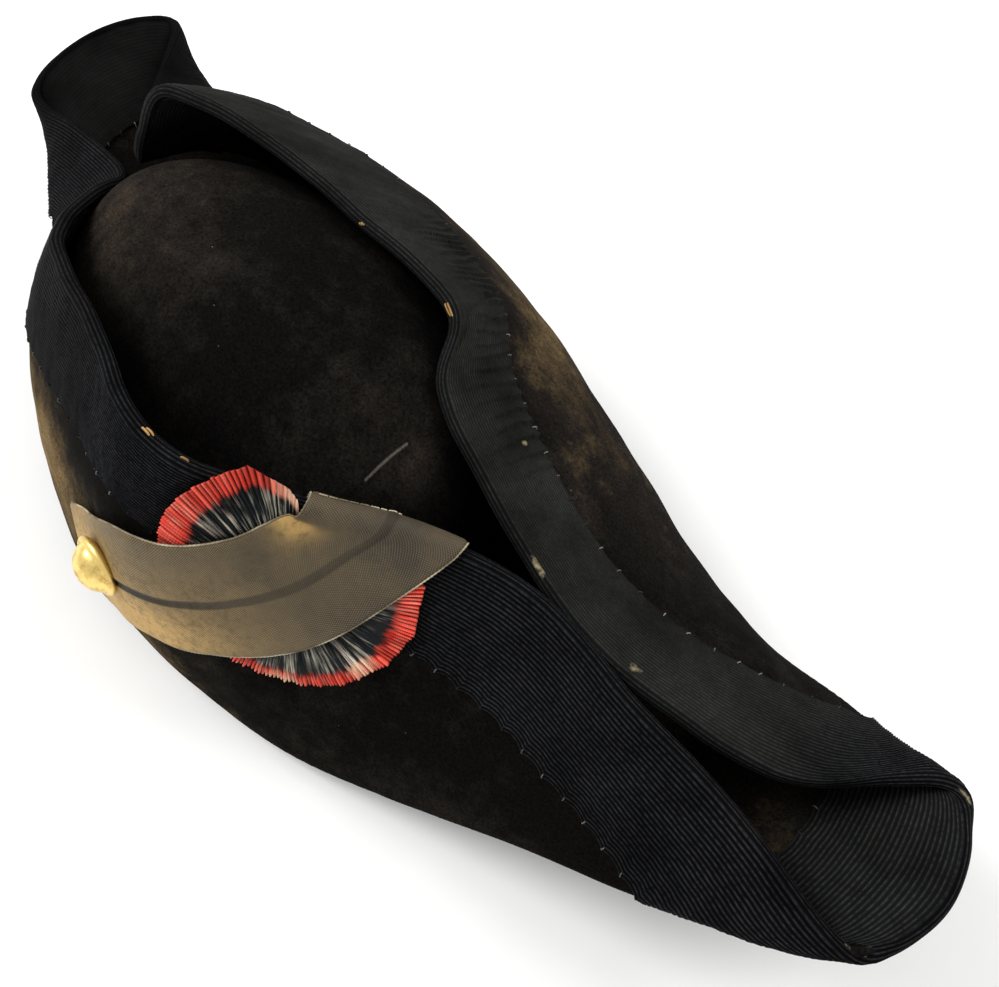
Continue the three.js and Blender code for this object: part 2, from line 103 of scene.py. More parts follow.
def sole(x):
    near = np.clip((x - SOLE_NEAR["start"]) / (SOLE_NEAR["end"] - SOLE_NEAR["start"]), 0, None)
    far = np.clip((x - SOLE_FAR["start"]) / (SOLE_FAR["end"] - SOLE_FAR["start"]), 0, None)
    return FELT / 2 + SOLE_NEAR["rise"] * near**SOLE_POWER + SOLE_FAR["rise"] * far**SOLE_POWER


def tip_rows(start, end, edge_reach, lift):
    """Rows round the blunt end of a horn, from one flap's corner to the other's."""
    angle = np.pi * np.arange(1, TIP["steps"]) / TIP["steps"]
    share = ((1 - np.cos(angle)) / 2)[:, None]
    reach = np.sign(start[2]) * np.sin(angle)
    rows = start + (end - start) * share
    rows[:, 0] += TIP["fold_reach"] * reach
    rows[:, 2] += edge_reach * reach
    rows[:, 4] += lift * np.sin(angle)
    return rows


BRIM_ROWS = np.concatenate([
    FRONT_FLAP,
    tip_rows(FRONT_FLAP[-1], BACK_FLAP[-1], **FAR_TIP),
    BACK_FLAP[::-1],
    tip_rows(BACK_FLAP[0], FRONT_FLAP[0], **NEAR_TIP),
])
ROW_COUNT = len(BRIM_ROWS)


def smooth_curve(points, closed):
    """A curve through the points. Its place is a row number, which may be broken."""
    points = np.asarray(points, float)
    count = len(points)

    def at(place):
        place = np.asarray(place, float)
        base = np.floor(place).astype(int)
        if not closed:
            base = np.clip(base, 0, count - 2)
        w = (place - base)[..., None]
        steps = [base + k for k in (-1, 0, 1, 2)]
        if closed:
            p0, p1, p2, p3 = (points[step % count] for step in steps)
        else:
            p0, p1, p2, p3 = (points[np.clip(step, 0, count - 1)] for step in steps)
            p0 = np.where((base == 0)[..., None], 2 * p1 - p2, p0)
            p3 = np.where((base == count - 2)[..., None], 2 * p2 - p1, p3)
        a, b = (p2 - p0) / 2, (p3 - p1) / 2
        return p1 + a * w + (3 * (p2 - p1) - 2 * a - b) * w**2 + (2 * (p1 - p2) + a + b) * w**3

    return at


fold_line = smooth_curve(np.column_stack([BRIM_ROWS[:, :2], sole(BRIM_ROWS[:, 0])]), closed=True)
edge_line = smooth_curve(BRIM_ROWS[:, 2:5], closed=True)
bow_line = smooth_curve(BRIM_ROWS[:, 5:6], closed=True)
HALF_LENGTH = np.abs(BRIM_ROWS[:, 2]).max()
FLAP_POINTS, BEND_POINTS, FLOOR_POINTS = 28, 12, 24


def unit(vectors):
    return vectors / np.maximum(np.linalg.norm(vectors, axis=-1, keepdims=True), 1e-9)


def smooth_step(low, high, values):
    share = np.clip((values - low) / (high - low), 0, 1)
    return share * share * (3 - 2 * share)


def ripple(seed, wavelength, *coords):
    """A smooth, uneven wave between about -1 and 1 over the coordinates, of about that wavelength."""
    draw = np.random.default_rng(seed)
    total = 0
    for _ in range(6):
        way = draw.normal(size=len(coords))
        way *= 2 * np.pi / (wavelength * draw.uniform(0.7, 1.5) * np.linalg.norm(way))
        total = total + np.sin(sum(w * c for w, c in zip(way, coords)) + draw.uniform(0, 2 * np.pi))
    return total / 4


def section_lines(places):
    """The felt's mid-plane on each section, as points from the free edge down to the head hole."""
    fold, edge = fold_line(places), edge_line(places)
    fold[:, 2] = sole(fold[:, 0])
    across = (fold[:, 1] - CROWN["y"]) / CROWN["half_width"]
    angle = np.arctan2(across, (fold[:, 0] - CROWN["x"]) / CROWN["half_length"])
    head_x = CROWN["x"] + (CROWN["half_length"] - FELT - SEAM) * np.cos(angle)
    head_y = CROWN["y"] + (CROWN["half_width"] - FELT - SEAM) * np.sin(angle)
    head = np.column_stack([head_x, head_y, sole(head_x)])
    to_tip = HALF_LENGTH - np.abs(fold[:, 0])
    room = FLOOR_SWING["at_tip"] + FLOOR_SWING["per_length"] * to_tip
    swing = np.minimum(np.minimum(FLOOR_SWING["most"], np.linalg.norm(fold - head, axis=1) / 2), room)
    along = fold_line(places + 0.003) - fold_line(places - 0.003)
    square = unit(np.column_stack([along[:, 1], -along[:, 0]]))
    straight = unit((head - fold)[:, :2])
    aim = unit(straight + (square - straight) * np.clip(to_tip / FLOOR_SWING["square_from"], 0.3, 1)[:, None])
    turn = fold.copy()
    turn[:, :2] += aim * swing[:, None]
    turn[:, 2] = sole(turn[:, 0])

    def floor(share):
        w = share[..., None]
        flat = (1 - w) ** 2 * fold[:, None] + 2 * w * (1 - w) * turn[:, None] + w**2 * head[:, None]
        flat[..., 2] = sole(flat[..., 0])
        return flat

    chord = edge - fold
    height = np.linalg.norm(chord, axis=1)
    rounding = np.minimum(np.minimum(FOLD_RADIUS, 0.4 * height), 0.9 * swing)
    up, inward = unit(chord), unit(turn - fold)
    bow = up * np.sum(inward * up, axis=1, keepdims=True) - inward
    share = 1 - (1 - rounding / height)[:, None] * np.linspace(0, 1, FLAP_POINTS + 1)
    bulge = (bow_line(places)[:, 0] * height)[:, None] * 4 * share * (1 - share)
    flap = fold[:, None] + chord[:, None] * share[..., None] + bow[:, None] * bulge[..., None]
    floor_start = rounding / (2 * swing)
    w = np.linspace(0, 1, BEND_POINTS + 1)[1:][None, :, None]
    bend = (1 - w) ** 2 * flap[:, -1:] + 2 * w * (1 - w) * fold[:, None] + w**2 * floor(floor_start[:, None])
    rest = np.linspace(0, 1, FLOOR_POINTS + 1)[1:]
    flat = floor(floor_start[:, None] + (1 - floor_start)[:, None] * rest)
    return np.concatenate([flap, bend, flat], axis=1)


def points_at(places, lengths, line):
    return np.column_stack([np.interp(places, lengths, line[:, axis]) for axis in range(3)])


def along_sections(lines, depths):
    """Points of the section lines at these distances from the free edge."""
    lengths = np.cumsum(np.linalg.norm(np.diff(lines, axis=1, prepend=lines[:, :1]), axis=2), axis=1)
    return np.stack([points_at(*section) for section in zip(depths, lengths, lines)])


def section_lengths(lines):
    steps = np.linalg.norm(np.diff(lines, axis=1), axis=2)
    return steps.sum(axis=1), steps[:, :FLAP_POINTS + BEND_POINTS // 2].sum(axis=1)


def outward(points, passes, closed=True):
    """Normals of the sections. In the tight turns of the horns they are eased towards each other."""
    round_way = np.gradient(points, axis=0)
    if closed:
        round_way = np.roll(points, -1, axis=0) - np.roll(points, 1, axis=0)
    down = np.gradient(points, axis=1)
    normal = unit(np.cross(unit(round_way), unit(down)))
    tight = np.clip((np.abs(points[..., :1]) - HORN["start"]) / (HORN["full"] - HORN["start"]), 0, 1)
    for _ in range(passes):
        above = np.concatenate([normal[:, :1], normal[:, :-1]], axis=1)
        below = np.concatenate([normal[:, 1:], normal[:, -1:]], axis=1)
        around = np.roll(normal, 1, axis=0) + np.roll(normal, -1, axis=0) + above + below
        normal = unit(normal + tight * (unit(2 * normal + around) - normal))
    return normal


def settled(points, depths, folds, closed=True):
    """Felt isn't quite even: the flaps wave a little, and the sole stays flat."""
    free = np.clip((folds[:, None] - STILL["above_fold"] - depths) / STILL["fade"], 0, 1)
    at = np.moveaxis(points, -1, 0)
    wave = sum(height * ripple(seed, length, *at) for seed, length, height in FELT_WAVES)
    return points + outward(points, 6 * closed, closed) * (free * wave)[..., None]


def grid_corners(rings, around, closed_rings, closed_around):
    """Corners of the faces of a grid, as ring and step numbers that run on past a closed end."""
    i, j = (part.ravel() for part in np.indices((rings - 1 + closed_rings, around - 1 + closed_around)))
    return np.stack([np.stack([i + a, j + b], axis=-1) for a, b in ((0, 0), (1, 0), (1, 1), (0, 1))], axis=1)


def faces_of(corners, rings, around):
    return (corners[..., 0] % rings) * around + corners[..., 1] % around


def piece_of(name, points, faces, run=None, **marks):
    """A smooth mesh object from points of the tables, in millimetres. run gives each face corner two lengths
    in millimetres, for a woven pattern, and each mark is a value at each point."""
    faces = [list(map(int, face)) for face in faces]
    fan = np.array([(f[0], f[k], f[k + 1]) for f in faces for k in range(1, len(f) - 1)])
    a, b, c = (points[fan[:, k]] for k in range(3))
    if np.sum(a * np.cross(b, c)) < 0:
        faces = [face[::-1] for face in faces]
        run = None if run is None else [corners[::-1] for corners in run]
    mesh = bpy.data.meshes.new(name)
    mesh.from_pydata(((points + TO_FRAME) * MM).tolist(), [], faces)
    mesh.shade_smooth()
    if run is not None:
        layer = mesh.uv_layers.new(name="run")
        layer.uv.foreach_set("vector", np.concatenate([np.ravel(corners) for corners in run]) * MM)
    for mark, values in marks.items():
        layer = mesh.attributes.new(mark, "FLOAT", "POINT")
        layer.data.foreach_set("value", np.ravel(values).astype(np.float32))
    made = bpy.data.objects.new(name, mesh)
    bpy.context.scene.collection.objects.link(made)
    return made


def patches(table, *coords):
    """Soft round spots: each row is a centre and a radius for each coordinate, then the strength."""
    total = 0
    for *spot, strength in table:
        far = sum(((c - spot[2 * k]) / spot[2 * k + 1]) ** 2 for k, c in enumerate(coords))
        total = total + strength * np.exp(-far)
    return total


BRIM_STEPS = 14
BRIM_DEPTHS = 72
brim_places = np.arange(ROW_COUNT * BRIM_STEPS) / BRIM_STEPS
brim_lines = section_lines(brim_places)
brim_length, brim_fold = section_lengths(brim_lines)
brim_depths = brim_length[:, None] * np.linspace(0, 1, BRIM_DEPTHS)
brim_mid = settled(along_sections(brim_lines, brim_depths), brim_depths, brim_fold)
brim_normal = outward(brim_mid, 12)
brim_outer = brim_mid + brim_normal * FELT / 2
brim_inner = brim_mid - brim_normal * FELT / 2
brim_outer[..., 2] = np.maximum(brim_outer[..., 2], 0)
brim_points = np.concatenate([brim_outer, brim_inner[:, ::-1]], axis=1)

# Where hands and light have worn the nap brown, with painted sheen on the front flap's left end, where light
# grazes the felt, and painted light on the back flap about its bend, lit from above: row, its radius, depth
# from the edge, its radius, strength.
BRIM_WEAR_AND_LIGHT = [
    (7.6, 1.3, 78, 28, 0.85),
    (6.3, 0.8, 100, 16, 0.5),
    (5.0, 1.0, 112, 12, 0.3),
    (3.0, 1.4, 112, 14, 0.2),
    (1.2, 1.0, 78, 14, 0.2),
    (23.2, 1.0, 52, 26, 0.45),
    (24.8, 1.3, 60, 28, 0.32),
    (21.5, 1.5, 75, 30, 0.45),
    (28.0, 1.6, 80, 26, 0.08),
]
brim_wear_and_light = 0.01 + patches(BRIM_WEAR_AND_LIGHT, brim_places[:, None], brim_depths)
# The inner face is lightened evenly: a painted fill light in its shade.
brim_wear_and_light = np.concatenate([brim_wear_and_light, 0.08 + 0 * brim_wear_and_light], axis=1)
brim_corners = grid_corners(len(brim_points), 2 * BRIM_DEPTHS, True, True)
brim_faces = faces_of(brim_corners, len(brim_points), 2 * BRIM_DEPTHS)
brim = piece_of("brim_felt", brim_points.reshape(-1, 3), brim_faces, wear=brim_wear_and_light)


def linear(hex_colour):
    parts = [int(hex_colour[k:k + 2], 16) / 255 for k in (1, 3, 5)]
    return (*(p / 12.92 if p <= 0.04045 else ((p + 0.055) / 1.055) ** 2.4 for p in parts), 1)


def material_of(name):
    made = bpy.data.materials.new(name)
    made.use_nodes = True
    made.node_tree.nodes.clear()
    return made


MAIN_OUTPUT = {"Mix": 2, "Attribute": 2, "TexCoord": 3}


def node(material, kind, inputs=(), stops=(), **settings):
    """Adds a node and gives its main output. inputs go by socket, or as a list in the order of the sockets.
    Each is a value, a hex colour or another node's output. stops are the places and colours of a ramp."""
    tree = material.node_tree
    made = tree.nodes.new("ShaderNode" + kind)
    for name, value in settings.items():
        setattr(made, name, value)
    for socket, value in inputs.items() if isinstance(inputs, dict) else enumerate(inputs):
        if isinstance(value, bpy.types.NodeSocket):
            tree.links.new(value, made.inputs[socket])
        else:
            made.inputs[socket].default_value = linear(value) if isinstance(value, str) else value
    for k, (place, colour) in enumerate(stops):
        stop = made.color_ramp.elements[k] if k < 2 else made.color_ramp.elements.new(place)
        stop.position, stop.color = place, linear(colour)
    return made.outputs[MAIN_OUTPUT.get(kind, 0)] if made.outputs else None


# Wool felt, fulled, dyed black, shaved and brushed. It is dull and has a short nap: fine grain, almost no
# gloss, specks of lint, and brown patches where the black dye has faded.
def wool_felt(name, dyed, faded, scuff=None):
    felt = material_of(name)
    place = node(felt, "TexCoord")
    worn = node(felt, "Attribute", attribute_name="wear")
    # Nap fibres are about 0.05 mm thick; the grain is drawn at 0.9 mm so that it shows.
    cloud, blotch, nap = (
        node(felt, "TexNoise", {
            "Vector": place, "Scale": 1 / (size * MM), "Detail": detail, "Roughness": rough})
        for size, detail, rough in ((40, 5, 0.6), (8, 5, 0.7), (0.9, 4, 0.7)))
    uneven = node(felt, "Math", [cloud, blotch], operation="ADD")
    broad = node(felt, "Math", [cloud, 2, blotch], operation="MULTIPLY_ADD")
    spread = node(felt, "MapRange", [uneven, 0.7, 1.3, 0.35, 0.75])
    mottle = node(felt, "MapRange", [broad, 1.4, 2, 0, 0.14])
    # The wear mark is faded dye, and on the brim it also carries painted sheen and painted light.
    fade = node(felt, "Math", [worn, spread, mottle], operation="MULTIPLY_ADD", use_clamp=True)
    tone = node(felt, "ValToRGB", [fade], stops=[(0, dyed), (1, "#8a7757"), (0.14, "#1d1a17"), (0.5, faded)])
    grain = node(felt, "MapRange", [nap, 0.3, 0.7, 0.35, 1.65])
    grainy = node(felt, "VectorMath", {0: tone, "Scale": grain}, operation="SCALE")
    # Lint lies in specks of about half a millimetre, a few to each square centimetre.
    lint = node(felt, "TexVoronoi", {"Vector": place, "Scale": 1 / (6 * MM)})
    near = node(felt, "MapRange", [lint, 0.025, 0.055, 1, 0])
    chance = node(felt, "SeparateColor", [lint.node.outputs["Color"]])
    few = node(felt, "Math", [chance, 0.86], operation="GREATER_THAN")
    speck = node(felt, "Math", [near, few], operation="MULTIPLY")
    colour = node(felt, "Mix", {0: speck, 6: grainy, 7: "#5b574e"}, data_type="RGBA")
    if scuff:
        across, past = (node(felt, "Attribute", attribute_name="scuff_" + way) for way in ("across", "past"))
        width = node(felt, "Math", [across], operation="ABSOLUTE")
        far = node(felt, "Math", [width, past], operation="ADD")
        edge = node(felt, "MapRange", [far, 0.4 * scuff, 1.6 * scuff, 1, 0])
        scraped = node(felt, "Math", [edge, grain], operation="MULTIPLY", use_clamp=True)
        colour = node(felt, "Mix", {0: scraped, 6: colour, 7: "#55514a"}, data_type="RGBA")
    relief = node(felt, "Bump", {"Strength": 0.55, "Distance": 0.35 * MM, "Height": nap})
    shader = node(felt, "BsdfPrincipled", {
        "Base Color": colour, "Roughness": 0.95, "IOR": 1.45, "Specular IOR Level": 0.02, "Normal": relief})
    node(felt, "OutputMaterial", {"Surface": shader})
    return felt


brim.data.materials.append(wool_felt("black_wool_felt_brim", "#0a0908", "#68563b"))
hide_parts("brim")
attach(brim, "root")


# The crown: a dome of black wool felt, blocked over a wooden form and sewn to the brim round the head hole.
# It is as thick as the brim, and bare inside.
DOME = {"rise": 2.6, "far": 3.2, "near": 2.4, "across": 2.2, "heart": 30, "wall": 0.6, "gap": 0.45}
CROWN_TURNS = 320
CROWN_WALL = np.linspace(0, DOME["wall"], 30)[:-1]
CROWN_TOP = np.linspace((1 - DOME["wall"] ** DOME["rise"]) ** (1 / DOME["near"]), 0.01, 70) ** DOME["near"]
CROWN_LEVELS = np.concatenate([CROWN_WALL, (1 - CROWN_TOP) ** (1 / DOME["rise"])])


def crown_rings(inset):
    level = CROWN_LEVELS[:, None]
    angle = (2 * np.pi * np.arange(CROWN_TURNS) / CROWN_TURNS)[None]
    fill = 1 - level ** DOME["rise"]
    along = np.where(np.cos(angle) > 0, DOME["near"], DOME["far"])
    x = CROWN["x"] + (CROWN["half_length"] - inset) * fill ** (1 / along) * np.cos(angle)
    y = CROWN["y"] + (CROWN["half_width"] - inset) * fill ** (1 / DOME["across"]) * np.sin(angle)
    rim = sole(CROWN["x"] + CROWN["half_length"] * np.cos(angle)) + FELT / 2 + DOME["gap"]
    rings = np.stack([x, y, rim + (CROWN["top"] - inset - rim) * level], axis=-1)
    # The dome has sunk a little in places, and stays true at its foot.
    way = unit(rings - (CROWN["x"], CROWN["y"], DOME["heart"])) * np.clip(level / 0.3, 0, 1)[..., None]
    return rings + way * (0.8 * ripple(11, 62, *np.moveaxis(rings, -1, 0)) - 0.5)[..., None]


def dome_points(skins, poles):
    """Two skins of rings, joined at their first ring, and their two poles."""
    outer, inner = skins
    rings = np.concatenate([outer[::-1], inner])
    return np.concatenate([rings.reshape(-1, 3), np.array(poles, float)]), len(rings)


def dome_faces(rings, turns):
    quads = faces_of(grid_corners(rings, turns, False, True), rings, turns).tolist()
    pole = rings * turns
    steps = [(k, (k + 1) % turns) for k in range(turns)]
    caps = [(a, b, pole) for a, b in steps]
    return quads + caps + [(pole - turns + b, pole - turns + a, pole + 1) for a, b in steps]


crown_skins = [crown_rings(0), crown_rings(FELT)]
crown_points, crown_count = dome_points(crown_skins, [skin[-1].mean(axis=0) for skin in crown_skins])
# Scuffs and dust on the dome: x, its radius, y, its radius, z, its radius, strength.
CROWN_WEAR = [
    (-105, 45, -25, 60, 85, 50, 0.22),
    (-70, 50, 0, 50, 112, 40, 0.04),
    (45, 6, -10, 8, 93, 12, 0.22),
]
# One thin scuff near the front of the dome, as a line in plan from its start to its end, in millimetres.
SCUFF = {"start": (41, -24), "end": (40, -8), "half_width": 0.3, "height": 97, "height_reach": 6}
scuff_way = unit(np.subtract(SCUFF["end"], SCUFF["start"]))
scuff_length = np.linalg.norm(np.subtract(SCUFF["end"], SCUFF["start"]))
from_scuff = crown_points[:, :2] - SCUFF["start"]
along_scuff = from_scuff @ scuff_way / scuff_length
past_scuff = np.maximum(np.abs(along_scuff - 0.5) - 0.5, 0) * scuff_length
across_scuff = from_scuff @ (scuff_way[1], -scuff_way[0])
past_scuff += np.maximum(np.abs(crown_points[:, 2] - SCUFF["height"]) - SCUFF["height_reach"], 0)
crown_wear = 0.02 + patches(CROWN_WEAR, *crown_points.T)
crown = piece_of(
    "crown_felt", crown_points, dome_faces(crown_count, CROWN_TURNS), wear=crown_wear,
    scuff_across=across_scuff, scuff_past=past_scuff)
crown.data.materials.append(wool_felt("black_wool_felt_crown", "#090808", "#463c31", SCUFF["half_width"]))
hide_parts("crown")
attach(crown, "root")


# The edge binding: a ribbed silk ribbon, folded over the brim's edge and sewn down along both its borders.
# It follows the edge all the way round, gathered where the flap bends. The ribs are real ridges.
RIBBON = 0.9
RIBBON_REACH = 40
RIBBON_TOP = FELT / 2 + 0.15 + RIBBON
RIBBON_UNDER = FELT / 2 + 0.12
RIBS, WRAP_RIBS, STEPS_PER_RIB = 27, 5, 3
RIB_PITCH = RIBBON_REACH / RIBS
RIB_HEIGHT = 0.32
STITCH_SPACING = 8.5
STEPS_PER_STITCH = 5
GATHERED_ROWS = (21.7, 24.8)


def lengths_along(points):
    return np.concatenate([[0], np.cumsum(np.linalg.norm(np.diff(points, axis=0), axis=1))])


# Sections are evenly spaced along the edge, and three times closer where the ribbon is gathered.
fine_places = np.linspace(0, ROW_COUNT, 8000)
fine_run = lengths_along(edge_line(fine_places))
stitches_round = round(fine_run[-1] / STITCH_SPACING)
step_length = fine_run[-1] / stitches_round / STEPS_PER_STITCH
binding_steps = np.arange(stitches_round * STEPS_PER_STITCH, dtype=float)
step_places = np.interp(binding_steps * step_length, fine_run, fine_places)
gathered = binding_steps[(step_places > GATHERED_ROWS[0]) & (step_places < GATHERED_ROWS[1])]
binding_steps = np.sort(np.concatenate([binding_steps, gathered + 1 / 3, gathered + 2 / 3]))
binding_run = binding_steps * step_length
binding_places = np.interp(binding_run, fine_run, fine_places)
binding_lines = section_lines(binding_places)
_, binding_fold = section_lengths(binding_lines)
binding_band = smooth_curve(BRIM_ROWS[:, 6:], closed=True)(binding_places)[:, 0]
FACE = np.arange(RIBS * STEPS_PER_RIB + 1) * RIB_PITCH / STEPS_PER_RIB


def ribbon_face(border):
    """Mid-plane of the felt under one face of the ribbon, from the edge to that border, and its normals."""
    share = FACE / RIBBON_REACH
    depths = binding_band[:, None] * share + (border - binding_band)[:, None] * share**6
    points = settled(along_sections(binding_lines, depths), depths, binding_fold)
    return depths, points, outward(points, 40)


def rib_relief(distance, height):
    return height * (0.5 + 0.5 * np.cos(2 * np.pi * distance / RIB_PITCH)) ** 1.5


def stretch(rise_from, rise_to, fall_from, fall_to, values):
    """0 up to a first value, 1 along a stretch, and 0 again after it."""
    return smooth_step(rise_from, rise_to, values) * (1 - smooth_step(fall_from, fall_to, values))


# Between its stitches the border draws back towards the edge, most of all on the outside of the front flap.
drawn_back = np.abs(np.sin(np.pi * binding_steps / STEPS_PER_STITCH)) ** 0.8
front_face = stretch(-0.6, 0.4, 11.8, 13, binding_places)
back_face = stretch(16.5, 18.5, 27.2, 28.6, binding_places)
outer_border = binding_band + 0.5 - (0.4 + 0.8 * front_face) * drawn_back + 0.5 * ripple(21, 60, binding_run)
inner_border = binding_band + 0.3 - 0.6 * drawn_back + 0.5 * ripple(22, 70, binding_run)
outer_depths, outer_mid, outer_normal = ribbon_face(outer_border)
inner_depths, inner_mid, inner_normal = ribbon_face(inner_border)

# Gathers across the ribbon: the rows from which and to which they run, their spacing in millimetres, height,
# and the share of the width at which they start. Each is a small ledge that falls on one side.
GATHERS = [
    (22.2, 23.1, 3.2, 1.5, 0.3),
    (23.1, 24.9, 5.0, 1.7, 0.25),
    (8.4, 9.8, 8.5, 0.5, 0.4),
]
# A seam across the ribbon at the kink, and a crease beside it: row and share of the width at each end.
CREASES = [
    ((23.12, 0.15), (22.9, 1.0)),
    ((23.12, 0.17), (23.55, 0.05)),
]
CREASE = {"depth": 0.7, "width": 0.75}


def gathers(depths, seed):
    total = 0
    run, place, band = binding_run[:, None], binding_places[:, None], binding_band[:, None]
    for k, (first, last, spacing, height, start) in enumerate(GATHERS):
        reach = stretch(first - 0.2, first + 0.2, last - 0.3, last + 0.3, place)
        wander = (run + 1.3 * ripple(seed + k, 16, run, depths)) / spacing
        ledge = (wander - np.floor(wander)) ** 1.6 - 0.35
        rise = np.clip((depths / band - start) / (1 - start), 0, 1) ** 0.6
        total = total + height * reach * ledge * rise * (0.75 + 0.5 * ripple(seed + 9 + k, 14, run, depths))
    for ends in CREASES:
        start, end = (
            np.array([np.interp(row, binding_places, binding_run),
                      share * np.interp(row, binding_places, binding_band)])
            for row, share in ends)
        here = np.stack([run + 0 * depths, depths], axis=-1) - start
        part = np.clip(here @ (end - start) / np.sum((end - start) ** 2), 0, 1)
        away = np.linalg.norm(here - part[..., None] * (end - start), axis=-1)
        total = total - CREASE["depth"] * np.exp(-((away / CREASE["width"]) ** 2))
    return np.maximum(total, -CREASE["depth"])


def ribbon_height(depths, ribs, seed):
    run = binding_run[:, None]
    waves = 0.16 * ripple(seed, 11, run, depths) + 0.09 * ripple(seed + 1, 5, run, depths)
    return RIBBON_TOP + waves + rib_relief(FACE, ribs)


# The ribs have flattened on the back flap, less so on the left of the front one, and most at the far horn.
far_horn = stretch(10.5, 12, 16.5, 18, binding_places)
left_face = stretch(6.2, 7.4, 9.5, 11, binding_places)
rib_strength = 1 - 0.85 * far_horn - 0.35 * left_face
outer_rib = (RIB_HEIGHT * (rib_strength - 0.55 * back_face))[:, None]
inner_rib = (RIB_HEIGHT * rib_strength)[:, None]
outer_height = ribbon_height(outer_depths, outer_rib, 31) + gathers(outer_depths, 41)
outer_skin = outer_mid + outer_normal * outer_height[..., None]
inner_skin = inner_mid - inner_normal * ribbon_height(inner_depths, inner_rib, 33)[..., None]
past_edge = unit(outer_mid[:, 0] - outer_mid[:, 3])


def edge_ring(share, radius):
    """Points round the free edge, from the outer face to the inner: the ribbon is creased there, so the
    strip along the edge is nearly flat."""
    turn = (np.pi * share)[None, :, None]
    way = outer_normal[:, :1] * np.cos(turn) + past_edge[:, None] * np.sin(turn) ** 0.6
    return outer_mid[:, :1] + way * np.broadcast_to(radius, (len(outer_mid), len(share)))[..., None]


wrap_share = np.linspace(0, 1, WRAP_RIBS * STEPS_PER_RIB + 1)[1:]
wrap_skin = edge_ring(wrap_share, RIBBON_TOP + rib_relief(wrap_share * WRAP_RIBS * RIB_PITCH, 0.2))
wrap_under = edge_ring(np.array([1, 0.7, 0.4]), RIBBON_UNDER)
pick = np.linspace(0, len(FACE) - 1, 8).astype(int)
outer_under = outer_mid[:, pick] + outer_normal[:, pick] * RIBBON_UNDER
inner_under = inner_mid[:, pick] - inner_normal[:, pick] * RIBBON_UNDER
# Where the silk is rubbed thin: row, its radius, distance across from the edge, its radius, strength.
RIBBON_WEAR = [
    (25.47, 0.2, -0.6, 1.5, 0.85),
    (26.5, 0.12, 3, 3.5, 0.75),
    (24.57, 0.04, 30, 3, 0.85),
    (32.8, 0.5, -3.7, 0.9, 0.85),
    (29.3, 0.4, -3.7, 0.9, 0.85),
]


def sewn_ribbon(name, loop, distances, depths, age):
    """One part of the ribbon as a closed sheet: loops of points along the edge, with the distance of each
    from the edge for the ribs, its depth for the wear, and how far it has greyed, with painted light on the
    back flap."""
    around = loop.shape[1]
    corners = grid_corners(len(loop), around, True, True)
    along = np.append(binding_run, fine_run[-1])[corners[..., 0]]
    run = np.stack([along, np.append(distances, distances[0])[corners[..., 1]]], axis=-1)
    worn = patches(RIBBON_WEAR, binding_places[:, None], depths)
    return piece_of(
        name, loop.reshape(-1, 3), faces_of(corners, len(loop), around), run,
        wear=worn, age=age + 0 * depths, ribs=rib_strength[:, None] + 0 * depths)


wrap_run = -wrap_share * WRAP_RIBS * RIB_PITCH
outer_loop = np.concatenate([outer_skin[:, ::-1], wrap_skin, wrap_under, outer_under], axis=1)
outer_distances = np.concatenate([FACE[::-1], wrap_run, [0, 0, 0], FACE[pick]])
outer_depth = np.tile(outer_distances, (len(outer_loop), 1))
# The outside of the back flap is paler, partly greyed and partly painted light where light from above falls
# on it, and the strip along the edge a little.
strip_age_and_light = 0.04 + 0.3 * back_face
hidden = wrap_under.shape[1] + outer_under.shape[1]
outer_age_and_light = np.repeat(
    np.column_stack([back_face, strip_age_and_light, 0 * strip_age_and_light]), [len(FACE), len(wrap_run), hidden], axis=1)
binding = sewn_ribbon("edge_binding_ribbon", outer_loop, outer_distances, outer_depth, outer_age_and_light)
inner_loop = np.concatenate([inner_skin, inner_under[:, ::-1]], axis=1)
inner_distances = np.concatenate([wrap_run[-1] - FACE, wrap_run[-1] - FACE[pick][::-1]])
inner_depth = np.tile(wrap_run[-1] - inner_distances, (len(inner_loop), 1))
# Inside, it has greyed by the peak and, less, in the horns.
inner_age = 0.1 + 0.7 * stretch(16.5, 18, 20, 21.5, binding_places)
for horn in (14, 30.5):
    inner_age += 0.3 * (1 - smooth_step(1, 2.5, np.abs(binding_places - horn)))
binding_inside = sewn_ribbon(
    "edge_binding_inside", inner_loop, inner_distances, inner_depth, inner_age[:, None])
